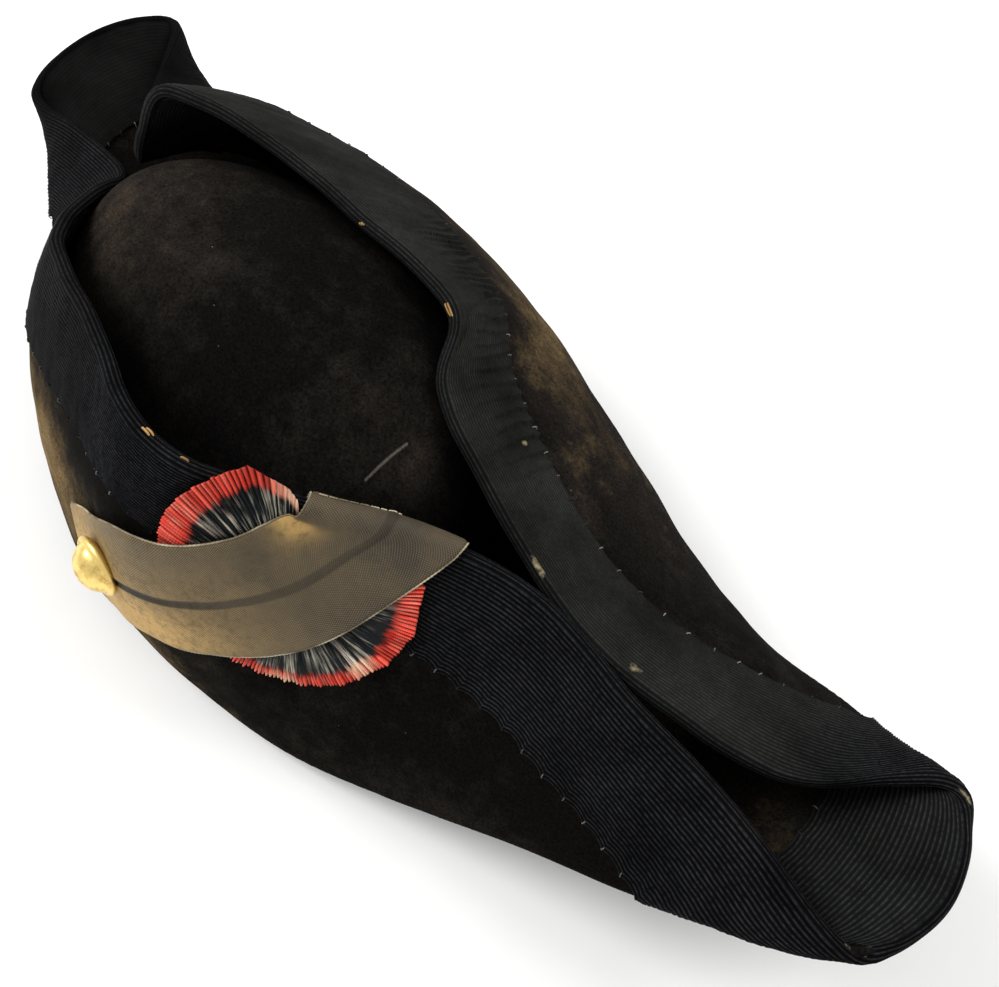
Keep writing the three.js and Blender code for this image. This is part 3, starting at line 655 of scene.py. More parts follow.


# Grosgrain silk ribbon: a warp of fine silk over thick cotton wefts, so that ribs about 1.5 mm apart run
# along it.
# It is black, with a painted highlight along the crests of the ribs, where they are also rubbed paler, and it
# greys as the silk wears; on the back flap's outside the grey is partly painted light.
def grosgrain(name):
    silk = material_of(name)
    run = node(silk, "SeparateXYZ", [node(silk, "UVMap", uv_map="run")]).node.outputs
    place = node(silk, "TexCoord")
    worn, aged, ribs = (node(silk, "Attribute", attribute_name=mark) for mark in ("wear", "age", "ribs"))
    # Each crest's painted highlight, partly rubbing too, is broken into spots about 1.3 mm long. Clouds and
    # frays are broader.
    spot, cloud, fray = (
        node(silk, "TexNoise", {
            "Vector": place, "Scale": 1 / (size * MM), "Detail": detail, "Roughness": rough})
        for size, detail, rough in ((1.3, 3, 0.6), (22, 5, 0.6), (3, 5, 0.7)))
    # Warp threads lie about 0.15 mm apart; they are drawn at 0.5 mm so that they show.
    rib_turn, thread_turn = (
        node(silk, "Math", [length, 2 * math.pi / (pitch * MM)], operation="MULTIPLY")
        for length, pitch in ((run["Y"], RIB_PITCH), (run["X"], 0.5)))
    wave = node(silk, "Math", [rib_turn], operation="COSINE")
    crest = node(silk, "MapRange", [wave, -0.1, 1])
    broken = node(silk, "MapRange", [spot, 0.32, 0.66, 0.2, 1])
    crest_highlights = node(silk, "Math", [crest, ribs], operation="MULTIPLY")
    line = node(silk, "Math", [crest_highlights, broken], operation="MULTIPLY")
    uneven = node(silk, "MapRange", [cloud, 0.3, 0.7, 0.55, 1.45])
    greyed = node(silk, "Math", [aged, 0.5], operation="MULTIPLY", use_clamp=True)
    # The ridge colour is a painted highlight on the rib crests; the valley colour is the silk's own black.
    valley, ridge = (
        node(silk, "ValToRGB", [greyed], stops=[(0, fresh), (1, grey), (0.5, between)])
        for fresh, between, grey in (("#070707", "#1a1b19", "#3c3d36"), ("#2b2c2f", "#2e2f2c", "#6a6b60")))
    ribs_with_highlights = node(silk, "Mix", {0: line, 6: valley, 7: ridge}, data_type="RGBA")
    shaded = node(silk, "VectorMath", {0: ribs_with_highlights, "Scale": uneven}, operation="SCALE")
    rubbed = node(silk, "Math", [worn, fray], operation="MULTIPLY")
    rubbing = node(silk, "MapRange", [rubbed, 0.3, 0.55])
    colour = node(silk, "Mix", {0: rubbing, 6: shaded, 7: "#9a8c6c"}, data_type="RGBA")
    threads = node(silk, "Math", [thread_turn], operation="SINE")
    weave = node(silk, "Math", [threads, 0.1, spot], operation="MULTIPLY_ADD")
    relief = node(silk, "Bump", {"Strength": 0.5, "Distance": 0.2 * MM, "Height": weave})
    shader = node(silk, "BsdfPrincipled", {
        "Base Color": colour, "Roughness": 0.62, "IOR": 1.5, "Specular IOR Level": 0.012, "Normal": relief})
    node(silk, "OutputMaterial", {"Surface": shader})
    return silk


black_grosgrain = grosgrain("black_grosgrain_silk")
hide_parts("edge_binding")
for ribbon_part in (binding, binding_inside):
    ribbon_part.data.materials.append(black_grosgrain)
    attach(ribbon_part, "root")


# The sewing: linen thread in single stitches along both borders of the ribbon, and a few brown darning
# threads that lie along the edge at its kinks.
def threads_of(paths, radii, sides=6):
    """Round threads along paths, with closed, tapered ends. A radius is one size, or one per point."""
    points, faces = [], []
    turn = 2 * np.pi * np.arange(sides) / sides
    start = 0
    for path, radius in zip(paths, radii):
        path = np.asarray(path, float)
        way = unit(np.gradient(path, axis=0))
        side = unit(np.cross(way, (0.31, 0.17, 0.93)))
        other = np.cross(way, side)
        width = radius * np.concatenate([[0.5], np.ones(len(path) - 2), [0.5]])
        ring = side[:, None] * np.cos(turn)[None, :, None] + other[:, None] * np.sin(turn)[None, :, None]
        points.append((path[:, None] + ring * width[:, None, None]).reshape(-1, 3))
        corners = faces_of(grid_corners(len(path), sides, False, True), len(path), sides)
        last = start + (len(path) - 1) * sides
        faces += (corners + start).tolist()
        faces += [list(range(start, start + sides))[::-1], list(range(last, last + sides))]
        start = last + sides
    return np.concatenate(points), faces


# A stitch: how far each of its points lies in from the border, its share of the lean, and its height.
STITCH = [
    (-1.1, 1, FELT / 2 - 0.1),
    (-0.7, 0.8, FELT / 2 + 0.4),
    (0, 0, RIBBON_TOP + 0.3),
    (0.8, -0.6, RIBBON_TOP + 0.32),
    (1.3, -1, RIBBON_TOP - 0.2),
]
STITCH_RADIUS, DARN_RADIUS = 0.21, 0.34
draw = np.random.default_rng(7)
stitch_paths = []
for middle, normal in ((outer_mid, outer_normal), (inner_mid, -inner_normal)):
    for k in range(stitches_round):
        i = int(np.searchsorted(binding_steps, k * STEPS_PER_STITCH))
        low, rim = middle[i, -1], normal[i, -1]
        back = unit(middle[i, -6] - low)
        lean = unit(middle[(i + 1) % len(middle), -1] - low) * draw.uniform(-0.5, 0.5)
        stitch_paths.append([low + back * far + lean * share + rim * height for far, share, height in STITCH])
stitch_points, stitch_faces = threads_of(stitch_paths, [STITCH_RADIUS] * len(stitch_paths))
stitches = piece_of("ribbon_stitches", stitch_points, stitch_faces)


# Linen sewing thread, waxed and twisted, faded from black to a dusty brown: dull, and paler in places.
def linen_thread(name, dark, pale):
    linen = material_of(name)
    place = node(linen, "TexCoord")
    # It has faded in lengths of about 12 mm, and its twist repeats about every 0.6 mm.
    patch, twist = (
        node(linen, "TexNoise", {"Vector": place, "Scale": 1 / (size * MM), "Detail": 1})
        for size in (12, 0.6))
    fade = node(linen, "MapRange", [patch, 0.42, 0.62])
    colour = node(linen, "Mix", {0: fade, 6: dark, 7: pale}, data_type="RGBA")
    relief = node(linen, "Bump", {"Strength": 0.5, "Distance": 0.15 * MM, "Height": twist})
    shader = node(linen, "BsdfPrincipled", {
        "Base Color": colour, "Roughness": 0.85, "IOR": 1.5, "Specular IOR Level": 0.2, "Normal": relief})
    node(linen, "OutputMaterial", {"Surface": shader})
    return linen


stitches.data.materials.append(linen_thread("faded_linen_thread", "#15130f", "#7b7568"))
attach(stitches, "root")

# Darning threads: row, length, how many, and where on the strip along the edge they start, as a share of it.
DARN_RISE = np.array([-0.4, 0.2, 0.35, 0.4, 0.35, 0.2, -0.4])[:, None]
DARNS = [
    (23.03, 5.4, 2, 0.38),
    (6.05, 3.4, 2, 0.38),
    (5.72, 2.6, 1, 0.42),
    (22.1, 1.4, 2, 0.4),
]
darn_paths = []
for row, length, count, first in DARNS:
    middle = np.interp(row, binding_places, binding_run)
    for k in range(count):
        column = int((first + 0.13 * k) * len(wrap_share))
        spots = middle + length * np.linspace(-0.5, 0.5, len(DARN_RISE)) + 0.3 * (-1) ** k
        on_strip = points_at(spots, binding_run, wrap_skin[:, column])
        core = points_at(spots, binding_run, outer_mid[:, 0])
        darn_paths.append(on_strip + unit(on_strip - core) * DARN_RISE)
darn_points, darn_faces = threads_of(darn_paths, [DARN_RADIUS] * len(darn_paths))
darns = piece_of("edge_darns", darn_points, darn_faces)
darns.data.materials.append(linen_thread("brown_linen_thread", "#8a6a3f", "#b9935c"))
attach(darns, "root")


# The cockade: a ribbon woven red along one border, gathered into a round of fine pleats against the front
# flap. Its rim stands up in a fluted ruffle, except where the lace loop holds it down.
COCKADE = {"row": 4.67, "depth": 28, "radius": 39, "lift": 1.8, "rim": 245}
ROW_SPAN = 38  # millimetres from row to row, about
COCKADE_PROFILE = np.array([[0.02, 2.6], [0.3, 2.6], [0.62, 2.8], [0.86, 2.5], [1, 1.6]])
PLEATS, BROAD_FOLDS = 190, 26
COCKADE_TURNS = PLEATS * 7
COCKADE_SHARES = np.concatenate([np.linspace(1, 0.7, 20)[:-1], np.linspace(0.7, 0.04, 24)])
# Round the cockade: angle in degrees, then in millimetres how far the ribbon reaches, how wide its red border
# is and how far the pleats run in, and how strong the broad folds are. The lace covers 35 to 103 degrees.
COCKADE_ROUND = np.array([
    [0, 39, 6.5, 6, 0.8],
    [15, 37.5, 6.5, 7, 0.7],
    [27, 37.2, 6, 8, 0.6],
    [35, 28, 6, 8, 0.5],
    [60, 18.5, 4, 12, 0.3],
    [90, 16, 3, 20, 0.1],
    [103, 17, 2.5, 26, 0.0],
    [108, 33, 3, 30, 0.0],
    [112, 37, 3.5, 30, 0.0],
    [119, 42, 4, 32, 0.0],
    [124, 47.5, 6, 32, 0.0],
    [138, 45, 6, 32, 0.0],
    [151, 43.2, 6.5, 30, 0.0],
    [176, 39.5, 7.5, 26, 0.1],
    [205, 38, 7, 12, 0.6],
    [240, 37, 4.5, 6, 1.0],
    [271, 35.5, 4, 5, 1.0],
    [297, 38, 4, 5, 1.0],
    [327, 38.5, 4.5, 5, 1.0],
    [360, 39, 6.5, 6, 0.8],
])


def front_table(rows, depths):
    """Points of the front flap's mid-plane at all rows and depths, with normals and up ways."""
    lines = section_lines(rows)
    deep = np.tile(depths, (len(rows), 1))
    points = settled(along_sections(lines, deep), deep, section_lengths(lines)[1], closed=False)
    along = np.gradient(points, axis=0)
    up = -np.gradient(points, axis=1)
    return points, unit(np.cross(up, along)), unit(up)


TABLE_ROWS = np.linspace(3.2, 7.2, 161)
TABLE_DEPTHS = np.linspace(0, 110, 221)
table_points, table_normals, table_ups = front_table(TABLE_ROWS, TABLE_DEPTHS)


def on_flap(rows, depths):
    """Point, normal and up way of the front flap at rows and depths. A depth below 0 is past the edge."""
    i = np.clip((rows - TABLE_ROWS[0]) / (TABLE_ROWS[1] - TABLE_ROWS[0]), 0, len(TABLE_ROWS) - 1.001)
    j = np.clip(depths / (TABLE_DEPTHS[1] - TABLE_DEPTHS[0]), 0, len(TABLE_DEPTHS) - 1.001)
    a, b = i.astype(int), j.astype(int)
    u, v = (i - a)[..., None], (j - b)[..., None]
    point, normal, up = (
        (1 - u) * ((1 - v) * t[a, b] + v * t[a, b + 1]) + u * ((1 - v) * t[a + 1, b] + v * t[a + 1, b + 1])
        for t in (table_points, table_normals, table_ups))
    up = unit(up)
    return point - up * np.minimum(depths, 0)[..., None], unit(normal), up


def cockade_round(angle, column):
    return np.interp(np.degrees(angle) % 360, COCKADE_ROUND[:, 0], COCKADE_ROUND[:, column])


def cockade_place(angle, share, height):
    reach = cockade_round(angle, 1) * share
    rows = COCKADE["row"] - reach * np.cos(angle) / ROW_SPAN
    point, normal, _ = on_flap(rows, COCKADE["depth"] - reach * np.sin(angle))
    return point + normal * (FELT / 2 + COCKADE["lift"] + height)[..., None]


cockade_angle = (2 * np.pi * np.arange(COCKADE_TURNS) / COCKADE_TURNS)[None] + 0 * COCKADE_SHARES[:, None]
cockade_share = COCKADE_SHARES[:, None] + 0 * cockade_angle
ring_x, ring_y = np.cos(cockade_angle), np.sin(cockade_angle)
rim_reach, red_width, pleat_reach, fold_strength = (cockade_round(cockade_angle, k) for k in (1, 2, 3, 4))
from_rim = rim_reach * (1 - cockade_share)
pleat_turn = PLEATS * cockade_angle + 2.6 * ripple(51, 0.5, ring_x, ring_y)
pleat_turn += 1.2 * ripple(52, 0.5, cockade_share, ring_x, ring_y)
pleat_number = np.floor(pleat_turn / (2 * np.pi) + 0.5).astype(int) % PLEATS
# Each pleat's own size, red and raggedness. Nine of the draws are spare.
pleat_draw = np.random.default_rng(57).normal(size=(3, PLEATS + 9))
pleat_size, pleat_red, pleat_end = pleat_draw[:, pleat_number]
flute = np.sqrt(np.abs(np.cos(pleat_turn / 2))) * (1 + 0.15 * pleat_size)
pleated = 1 - smooth_step(0.5, 1.15, from_rim / pleat_reach)
fold_turn = BROAD_FOLDS * cockade_angle + 4 * ripple(53, 0.8, ring_x, ring_y)
fold_turn += 1.5 * ripple(55, 0.6, cockade_share, ring_x, ring_y)
broad_fold = np.abs(np.sin(fold_turn / 2)) ** 0.7 - 0.6
rim = smooth_step(0.66, 0.86, cockade_share)
cockade_height = np.interp(cockade_share, *COCKADE_PROFILE.T)
cockade_height += pleated * (0.55 + 0.5 * rim) * (flute - 0.65) * 1.5 * np.clip(cockade_share / 0.35, 0.15, 1)
cockade_height += 1.7 * fold_strength * broad_fold * smooth_step(0.15, 0.5, cockade_share) * (1 - 0.6 * rim)
# The lace holds the ribbon flat over these angles.
cockade_degrees = np.degrees(cockade_angle)
pressed = stretch(20, 36, 108, 124, cockade_degrees)
cockade_height *= 1 - 0.8 * pressed
ragged = 1 + (0.016 * (flute - 0.6) + 0.004 * pleat_end + 0.008 * ripple(54, 0.25, ring_x, ring_y)) * rim
front_skin = cockade_place(cockade_angle, cockade_share * ragged, np.maximum(cockade_height, 0.4))
back_shares = np.array([0.97, 0.6, 0.2])
back_angle = cockade_angle[:1] + 0 * back_shares[:, None]
back_skin = cockade_place(back_angle, back_shares[:, None] + 0 * back_angle, 0.15 + 0 * back_angle)
cockade_skins = [front_skin, back_skin]
cockade_points, cockade_count = dome_points(cockade_skins, [skin[-1].mean(axis=0) for skin in cockade_skins])
cockade_faces = dome_faces(cockade_count, COCKADE_TURNS)
# Lengths along the rim and in from it, for the pattern.
cockade_shares = np.concatenate([COCKADE_SHARES[::-1], back_shares])
cockade_run = []
for face in cockade_faces:
    ring, turn = np.divmod(np.array(face), COCKADE_TURNS)
    turn = turn + COCKADE_TURNS * ((np.ptp(turn) > COCKADE_TURNS / 2) & (turn < COCKADE_TURNS / 2))
    share = np.where(ring < cockade_count, cockade_shares[np.minimum(ring, cockade_count - 1)], 0)
    cockade_run.append(np.stack([turn / COCKADE_TURNS * COCKADE["rim"], share * COCKADE["radius"]], axis=-1))
# Where the dye is worn off: angle in degrees, its radius, share of the radius, its radius, strength.
COCKADE_WEAR = [
    (110, 9, 0.95, 0.35, 1.0),
    (122, 16, 0.45, 0.16, 0.9),
    (288, 12, 1.0, 0.12, 1.0),
    (332, 10, 0.9, 0.16, 1.0),
    (265, 10, 1.0, 0.06, 0.5),
    (180, 8, 0.82, 0.08, 0.35),
]
red_border = smooth_step(-2.2, 1.6, red_width + 0.35 * pleat_red - from_rim)
cockade_marks = {
    "wear": patches(COCKADE_WEAR, cockade_degrees, cockade_share),
    "red": red_border,
    # The pleats' height, which paints shade in their hollows and highlights on their crests.
    "crest": flute * pleated + (broad_fold + 0.6) * (1 - pleated) * 0.7,
    "dye": 0.5 + 0.25 * pleat_end,
}
cockade_marks = {
    mark: np.concatenate([values[::-1].ravel(), 0 * back_angle.ravel(), [values[-1].mean(), 0]])
    for mark, values in cockade_marks.items()}
cockade = piece_of("cockade_ribbon", cockade_points, cockade_faces, cockade_run, **cockade_marks)


# Woven silk and wool ribbon, red along its border and slate blue within. The red is painted darker in the
# pleats' hollows, a painted shade, and brighter on their crests, a painted highlight; on the crests pale warp
# threads show where the nap has worn, made paler still by a painted highlight.
def cockade_silk(name):
    ribbon = material_of(name)
    run = node(ribbon, "SeparateXYZ", [node(ribbon, "UVMap", uv_map="run")]).node.outputs
    place = node(ribbon, "TexCoord")
    marks = (node(ribbon, "Attribute", attribute_name=mark) for mark in ("wear", "red", "crest", "dye"))
    worn, border, crest, dye = marks
    # Pale threads run out to the rim about 1 mm apart.
    inward = node(ribbon, "Math", [run["Y"], 0.05], operation="MULTIPLY")
    streak_at = node(ribbon, "CombineXYZ", {"X": run["X"], "Y": inward})
    streak = node(ribbon, "TexNoise", {"Vector": streak_at, "Scale": 1 / MM, "Detail": 3, "Roughness": 0.7})
    pale = node(ribbon, "MapRange", [streak, 0.48, 0.64])
    patch = node(ribbon, "TexNoise", {"Vector": place, "Scale": 1 / (9 * MM), "Detail": 2})
    bare = node(ribbon, "MapRange", [patch, 0.38, 0.62])
    # Pale threads on the crests: worn warp threads, with a painted highlight that follows the crests.
    lit = node(ribbon, "Math", [pale, crest], operation="MULTIPLY")
    lit_patches = node(ribbon, "Math", [lit, bare], operation="MULTIPLY")
    worn_and_lit = node(ribbon, "Math", [worn, lit, lit_patches], operation="MULTIPLY_ADD", use_clamp=True)
    slate = node(ribbon, "Mix", {0: worn_and_lit, 6: "#16191b", 7: "#c9c3b0"}, data_type="RGBA")
    rub = node(ribbon, "Math", [streak, 1.2, -0.15], operation="MULTIPLY_ADD")
    rubbed = node(ribbon, "Math", [worn, rub], operation="MULTIPLY")
    bleach = node(ribbon, "MapRange", [rubbed, 0.15, 0.6])
    crest_red = node(ribbon, "Mix", {0: dye, 6: "#cd3024", 7: "#f2604e"}, data_type="RGBA")
    # Painted shade: the red is darker in the pleats' hollows and brighter on their crests.
    crest_light = node(ribbon, "MapRange", [crest, 0.4, 1])
    red_shaded_in_hollows = node(ribbon, "Mix", {0: crest_light, 6: "#6a130e", 7: crest_red}, data_type="RGBA")
    red = node(ribbon, "Mix", {0: bleach, 6: red_shaded_in_hollows, 7: "#edcfae"}, data_type="RGBA")
    fleck = node(ribbon, "Math", [lit_patches, 0.45], operation="MULTIPLY")
    flecked = node(ribbon, "Mix", {0: fleck, 6: red, 7: "#f0bfa8"}, data_type="RGBA")
    thread = node(ribbon, "Math", [streak, 1.6, -0.8], operation="MULTIPLY_ADD")
    ending = node(ribbon, "Math", [border, thread], operation="ADD")
    dyed = node(ribbon, "MapRange", [ending, 0.15, 0.85])
    colour = node(ribbon, "Mix", {0: dyed, 6: slate, 7: flecked}, data_type="RGBA")
    # Weft threads cross the pleats about every 0.7 mm.
    weft = node(ribbon, "Math", [run["Y"], 2 * math.pi / (0.7 * MM)], operation="MULTIPLY")
    wefts = node(ribbon, "Math", [weft], operation="SINE")
    height = node(ribbon, "Math", [wefts, 0.15, streak], operation="MULTIPLY_ADD")
    relief = node(ribbon, "Bump", {"Strength": 0.6, "Distance": 0.35 * MM, "Height": height})
    shader = node(ribbon, "BsdfPrincipled", {
        "Base Color": colour, "Roughness": 0.75, "IOR": 1.5, "Specular IOR Level": 0.1, "Normal": relief})
    node(ribbon, "OutputMaterial", {"Surface": shader})
    return ribbon


cockade.data.materials.append(cockade_silk("pleated_cockade_ribbon"))
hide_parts("cockade")
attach(cockade, "root")


# The loop: a wide band of woven metal lace, folded so that its two borders meet in a seam along the middle.
# It runs from the button over the cockade, turns over the flap's edge and is sewn down inside.
LACE = {"thick": 1.2, "turn_over": 8}
# Upper border (row, depth, lift over the felt) and lower border (row, depth, lift).
LACE_ROWS = np.array([
    [6.8, 66, 0.9, 6.4, 97, 0.9],  # end under the button
    [6.48, 51.5, 1.2, 6.1, 89.5, 1.2],
    [6.06, 33.5, 3.4, 5.69, 77, 3.4],
    [5.61, 22.2, 5.7, 5.21, 66.5, 5.6],
    [5.27, 12.5, 6, 4.72, 56.8, 6],  # over the cockade
    [5.09, 5, 5.0, 4.24, 41.2, 5.8],
    [4.97, 0.5, 3.8, 3.89, 16, 4.6],
    [4.89, 0, 3.2, 3.71, 0, 2.4],  # flap's edge
    [4.86, -8, 2.2, 3.69, -8, 1.6],
    [4.84, -17, 1.6, 3.67, -17, 1.6],  # end inside the flap
])
LACE_STEPS, LACE_ACROSS = 160, 64
lace_line = smooth_curve(LACE_ROWS, closed=False)


def over_edge(rows, depths, lift):
    """A place on the front flap's skin. Past the free edge it turns over and runs down the inner face."""
    turn = np.clip(-depths / LACE["turn_over"], 0, 1)[..., None] * np.pi
    inside = np.maximum(-depths - LACE["turn_over"], 0)
    point, normal, up = on_flap(rows, np.where(depths >= 0, depths, inside))
    return point + (normal * np.cos(turn) + up * np.sin(turn)) * (FELT / 2 + lift)[..., None]


lace_share = np.linspace(0, 1, LACE_STEPS + 1)[:, None]
lace_across = np.linspace(0, 1, LACE_ACROSS + 1)
lace_at = lace_line(lace_share[:, 0] * (len(LACE_ROWS) - 1))
lace_rows, lace_depths, lace_lift = (
    lace_at[:, k:k + 1] + (lace_at[:, k + 3:k + 4] - lace_at[:, k:k + 1]) * lace_across for k in range(3))
from_middle = np.abs(lace_across - 0.5)[None]
# The seam is a sunk line by the button, and further up a low ridge of overcast stitches.
ridge = smooth_step(0.3, 0.5, lace_share)
seam = np.exp(-((from_middle / 0.022) ** 2))
bevel = np.clip((0.5 - from_middle) / 0.03, 0, 1) ** 0.5
lace_thick = LACE["thick"] * (0.45 + 0.55 * bevel)
overcast = 0.4 * ridge * (0.75 + 0.25 * np.sin(lace_share * 2 * np.pi * 70))
lace_thick = lace_thick + seam * (overcast - 0.6 * (1 - ridge))
lace_thick = lace_thick + 0.3 * ripple(61, 0.3, lace_share, lace_across[None] * 0.5)
top_skin = over_edge(lace_rows, lace_depths, lace_lift + lace_thick)
under_skin = over_edge(lace_rows, lace_depths, lace_lift)
lace_points = np.concatenate([top_skin, under_skin[:, ::-1]], axis=1)
lace_around = lace_points.shape[1]
lace_corners = grid_corners(LACE_STEPS + 1, lace_around, False, True)
lace_faces = faces_of(lace_corners, LACE_STEPS + 1, lace_around).tolist()
lace_length = lengths_along(top_skin[:, LACE_ACROSS // 2])
lace_width = np.linalg.norm(top_skin[:, 0] - top_skin[:, -1], axis=1).mean()
lace_sides = np.concatenate([lace_across, lace_across[::-1]])
lace_side_run = np.append(lace_sides, 0)[lace_corners[..., 1]] * lace_width
lace_run = np.stack([lace_length[lace_corners[..., 0]], lace_side_run], axis=-1).tolist()
for first in (0, LACE_STEPS * lace_around):
    for k in range(LACE_ACROSS):
        cap = [first + k, first + k + 1, first + lace_around - 2 - k, first + lace_around - 1 - k]
        lace_faces.append(cap[::-1] if first else cap)
        lace_run.append([(0, 0)] * 4)
# Rubbed bright or gilt: distance up the loop as a share, its radius, share across, its radius, strength.
LACE_WEAR = [
    (0.14, 0.16, 0.8, 0.3, 0.9),
    (0.3, 0.16, 0.9, 0.2, 0.7),
    (0.05, 0.12, 0.4, 0.5, 1.0),
    (0.66, 0.07, 0.05, 0.17, 1.5),
    (0.3, 0.2, 0.5, 0.4, 0.25),
]
# Darker patches, mostly towards the loop's upper end: the same columns.
LACE_DARK = [
    (0.62, 0.2, 0.75, 0.5, 0.5),
    (0.8, 0.12, 0.5, 0.6, 0.4),
    (0.35, 0.2, 0.1, 0.25, 0.25),
]
lace_gilt, lace_dark = (patches(table, lace_share, lace_sides) for table in (LACE_WEAR, LACE_DARK))
lace = piece_of("loop_lace", lace_points.reshape(-1, 3), lace_faces, lace_run, wear=lace_gilt, dark=lace_dark)


# Metal lace: flat gilt thread wound on silk and woven close. It has tarnished to olive brown, with a fine
# dotted weave, a dark stripe at the seam, and gilt left where it was rubbed.
def tarnished_lace(name, width, length):
    gold = material_of(name)
    run = node(gold, "SeparateXYZ", [node(gold, "UVMap", uv_map="run")]).node.outputs
    place = node(gold, "TexCoord")
    gilt, dark = (node(gold, "Attribute", attribute_name=mark) for mark in ("wear", "dark"))
    cloud, grain = (
        node(gold, "TexNoise", {"Vector": place, "Scale": 1 / (size * MM), "Detail": 5, "Roughness": rough})
        for size, rough in ((16, 0.6), (2.5, 0.7)))
    # Threads lie about 0.4 mm apart; the weave is drawn at 0.8 mm so that it shows.
    turns = [node(gold, "Math", [run[way], 2 * math.pi / (0.8 * MM)], operation="MULTIPLY") for way in "XY"]
    row_wave, line_wave = (node(gold, "Math", [turn], operation="SINE") for turn in turns)
    weave = node(gold, "Math", [row_wave, line_wave], operation="MULTIPLY")
    dots = node(gold, "MapRange", [weave, 0.1, 0.9])
    age = node(gold, "MapRange", [cloud, 0.35, 0.65])
    tarnish = node(gold, "Mix", {0: age, 6: "#372e22", 7: "#5a4c34"}, data_type="RGBA")
    rub = node(gold, "Math", [grain, 2.4, -0.4], operation="MULTIPLY_ADD", use_clamp=True)
    bright = node(gold, "Math", [gilt, rub], operation="MULTIPLY", use_clamp=True)
    warm = node(gold, "Mix", {0: bright, 6: tarnish, 7: "#c09a56"}, data_type="RGBA")
    glint = node(gold, "Math", [dots, rub], operation="MULTIPLY")
    glints = node(gold, "Math", [glint, 0.4], operation="MULTIPLY")
    dotted = node(gold, "Mix", {0: glints, 6: warm, 7: "#b5a685"}, data_type="RGBA")
    shade = node(gold, "MapRange", [weave, -0.6, 0.6, 0.78, 1.18])
    woven = node(gold, "VectorMath", {0: dotted, "Scale": shade}, operation="SCALE")
    black = node(gold, "Math", [dark, rub], operation="MULTIPLY", use_clamp=True)
    darkened = node(gold, "Mix", {0: black, 6: woven, 7: "#2b2823"}, data_type="RGBA")
    centred = node(gold, "Math", [run["Y"], width / 2 * MM], operation="SUBTRACT")
    out = node(gold, "Math", [centred], operation="ABSOLUTE")
    stripe = node(gold, "MapRange", [out, 1.2 * MM, 2 * MM, 0.95, 0])
    fading = node(gold, "MapRange", [run["X"], 0.3 * length * MM, 0.62 * length * MM, 1, 0.5])
    seam = node(gold, "Math", [stripe, fading], operation="MULTIPLY")
    colour = node(gold, "Mix", {0: seam, 6: darkened, 7: "#14110e"}, data_type="RGBA")
    height = node(gold, "Math", [dots, 0.6, grain], operation="MULTIPLY_ADD")
    relief = node(gold, "Bump", {"Strength": 0.7, "Distance": 0.25 * MM, "Height": height})
    shader = node(gold, "BsdfPrincipled", {
        "Base Color": colour, "Metallic": 0.15, "Roughness": 0.6, "Specular IOR Level": 0.3,
        "Normal": relief})
    node(gold, "OutputMaterial", {"Surface": shader})
    return gold


lace.data.materials.append(tarnished_lace("tarnished_metal_lace", lace_width, lace_length[-1]))
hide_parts("loop_strap")
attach(lace, "root")

# A thin whipped cord is sewn along each border of the lace, and a row of stitches holds it at the edge.
CORD = {"radius": 0.28, "whipping": 1.3, "step": 0.26, "past_lace": 0.1}
HOLDING = {"row": 7.62, "stitches": 24, "first": 3, "spacing": 1.35, "radius": 0.22}
cord_paths, cord_radii = [], []
for border, inside in ((top_skin[:, 0], top_skin[:, 3]), (top_skin[:, -1], top_skin[:, -4])):
    length = lengths_along(border)
    at = np.arange(0, length[-1], CORD["step"])
    cord_paths.append(points_at(at, length, border + unit(border - inside) * CORD["past_lace"]))
    cord_radii.append(CORD["radius"] * (1 + 0.2 * np.sin(2 * np.pi * at / CORD["whipping"])))
held = top_skin[int(HOLDING["row"] / (len(LACE_ROWS) - 1) * LACE_STEPS)]
for k in range(HOLDING["stitches"]):
    j = HOLDING["first"] + k * HOLDING["spacing"]
    low, high = (held[int(j + w)] + (0, 0, 0.25) for w in (0, 1))
    cord_paths.append([low - (0, 0, 0.5), low, (low + high) / 2 + (0, 0, 0.1), high, high - (0, 0, 0.5)])
    cord_radii.append(HOLDING["radius"])
cord_points, cord_faces = threads_of(cord_paths, cord_radii)
cords = piece_of("lace_cords", cord_points, cord_faces)
cords.data.materials.append(linen_thread("whipped_gilt_cord", "#6d6350", "#b9ae94"))
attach(cords, "root")


# The button: a dome of gilt brass, stamped from sheet, with a rolled rim. It is sewn through the end of the
# loop, and its face is plain.
BUTTON = {"row": 6.22, "depth": 62, "lift": 3.0, "turns": 72, "rings": 40, "dent": 0.22}
BUTTON_PROFILE = smooth_curve([
    [9.2, 0], [10, 0.9], [10, 2], [9.3, 2.8], [8.6, 2.9], [7.4, 4.6], [5.2, 6.5], [2.6, 7.6], [0.15, 8],
], closed=False)
button_base, button_normal, button_up = (
    part[0] for part in on_flap(np.array([BUTTON["row"]]), np.array([BUTTON["depth"]])))
button_base = button_base + button_normal * (FELT / 2 + BUTTON["lift"])
button_side = np.cross(button_up, button_normal)
button_turn = 2 * np.pi * np.arange(BUTTON["turns"]) / BUTTON["turns"]


def button_ring(radius, height):
    ring = button_side * np.cos(button_turn)[:, None] + button_up * np.sin(button_turn)[:, None]
    return button_base + ring * radius + button_normal * height


button_places = np.linspace(0, 8, BUTTON["rings"])
button_front = np.stack([button_ring(r, h) for r, h in BUTTON_PROFILE(button_places)])
button_back = np.stack([button_ring(r, 0) for r in (8.4, 4)])
domed = np.clip(np.linspace(-1, 2, BUTTON["rings"]), 0, 1)[:, None]
dent = BUTTON["dent"] * ripple(71, 7, *np.moveaxis(button_front, -1, 0)) * domed
button_front = button_front + button_normal * dent[..., None]
button_points, button_count = dome_points(
    [button_front, button_back], [button_front[-1].mean(axis=0), button_base])
button = piece_of("gilt_button", button_points, dome_faces(button_count, BUTTON["turns"]))


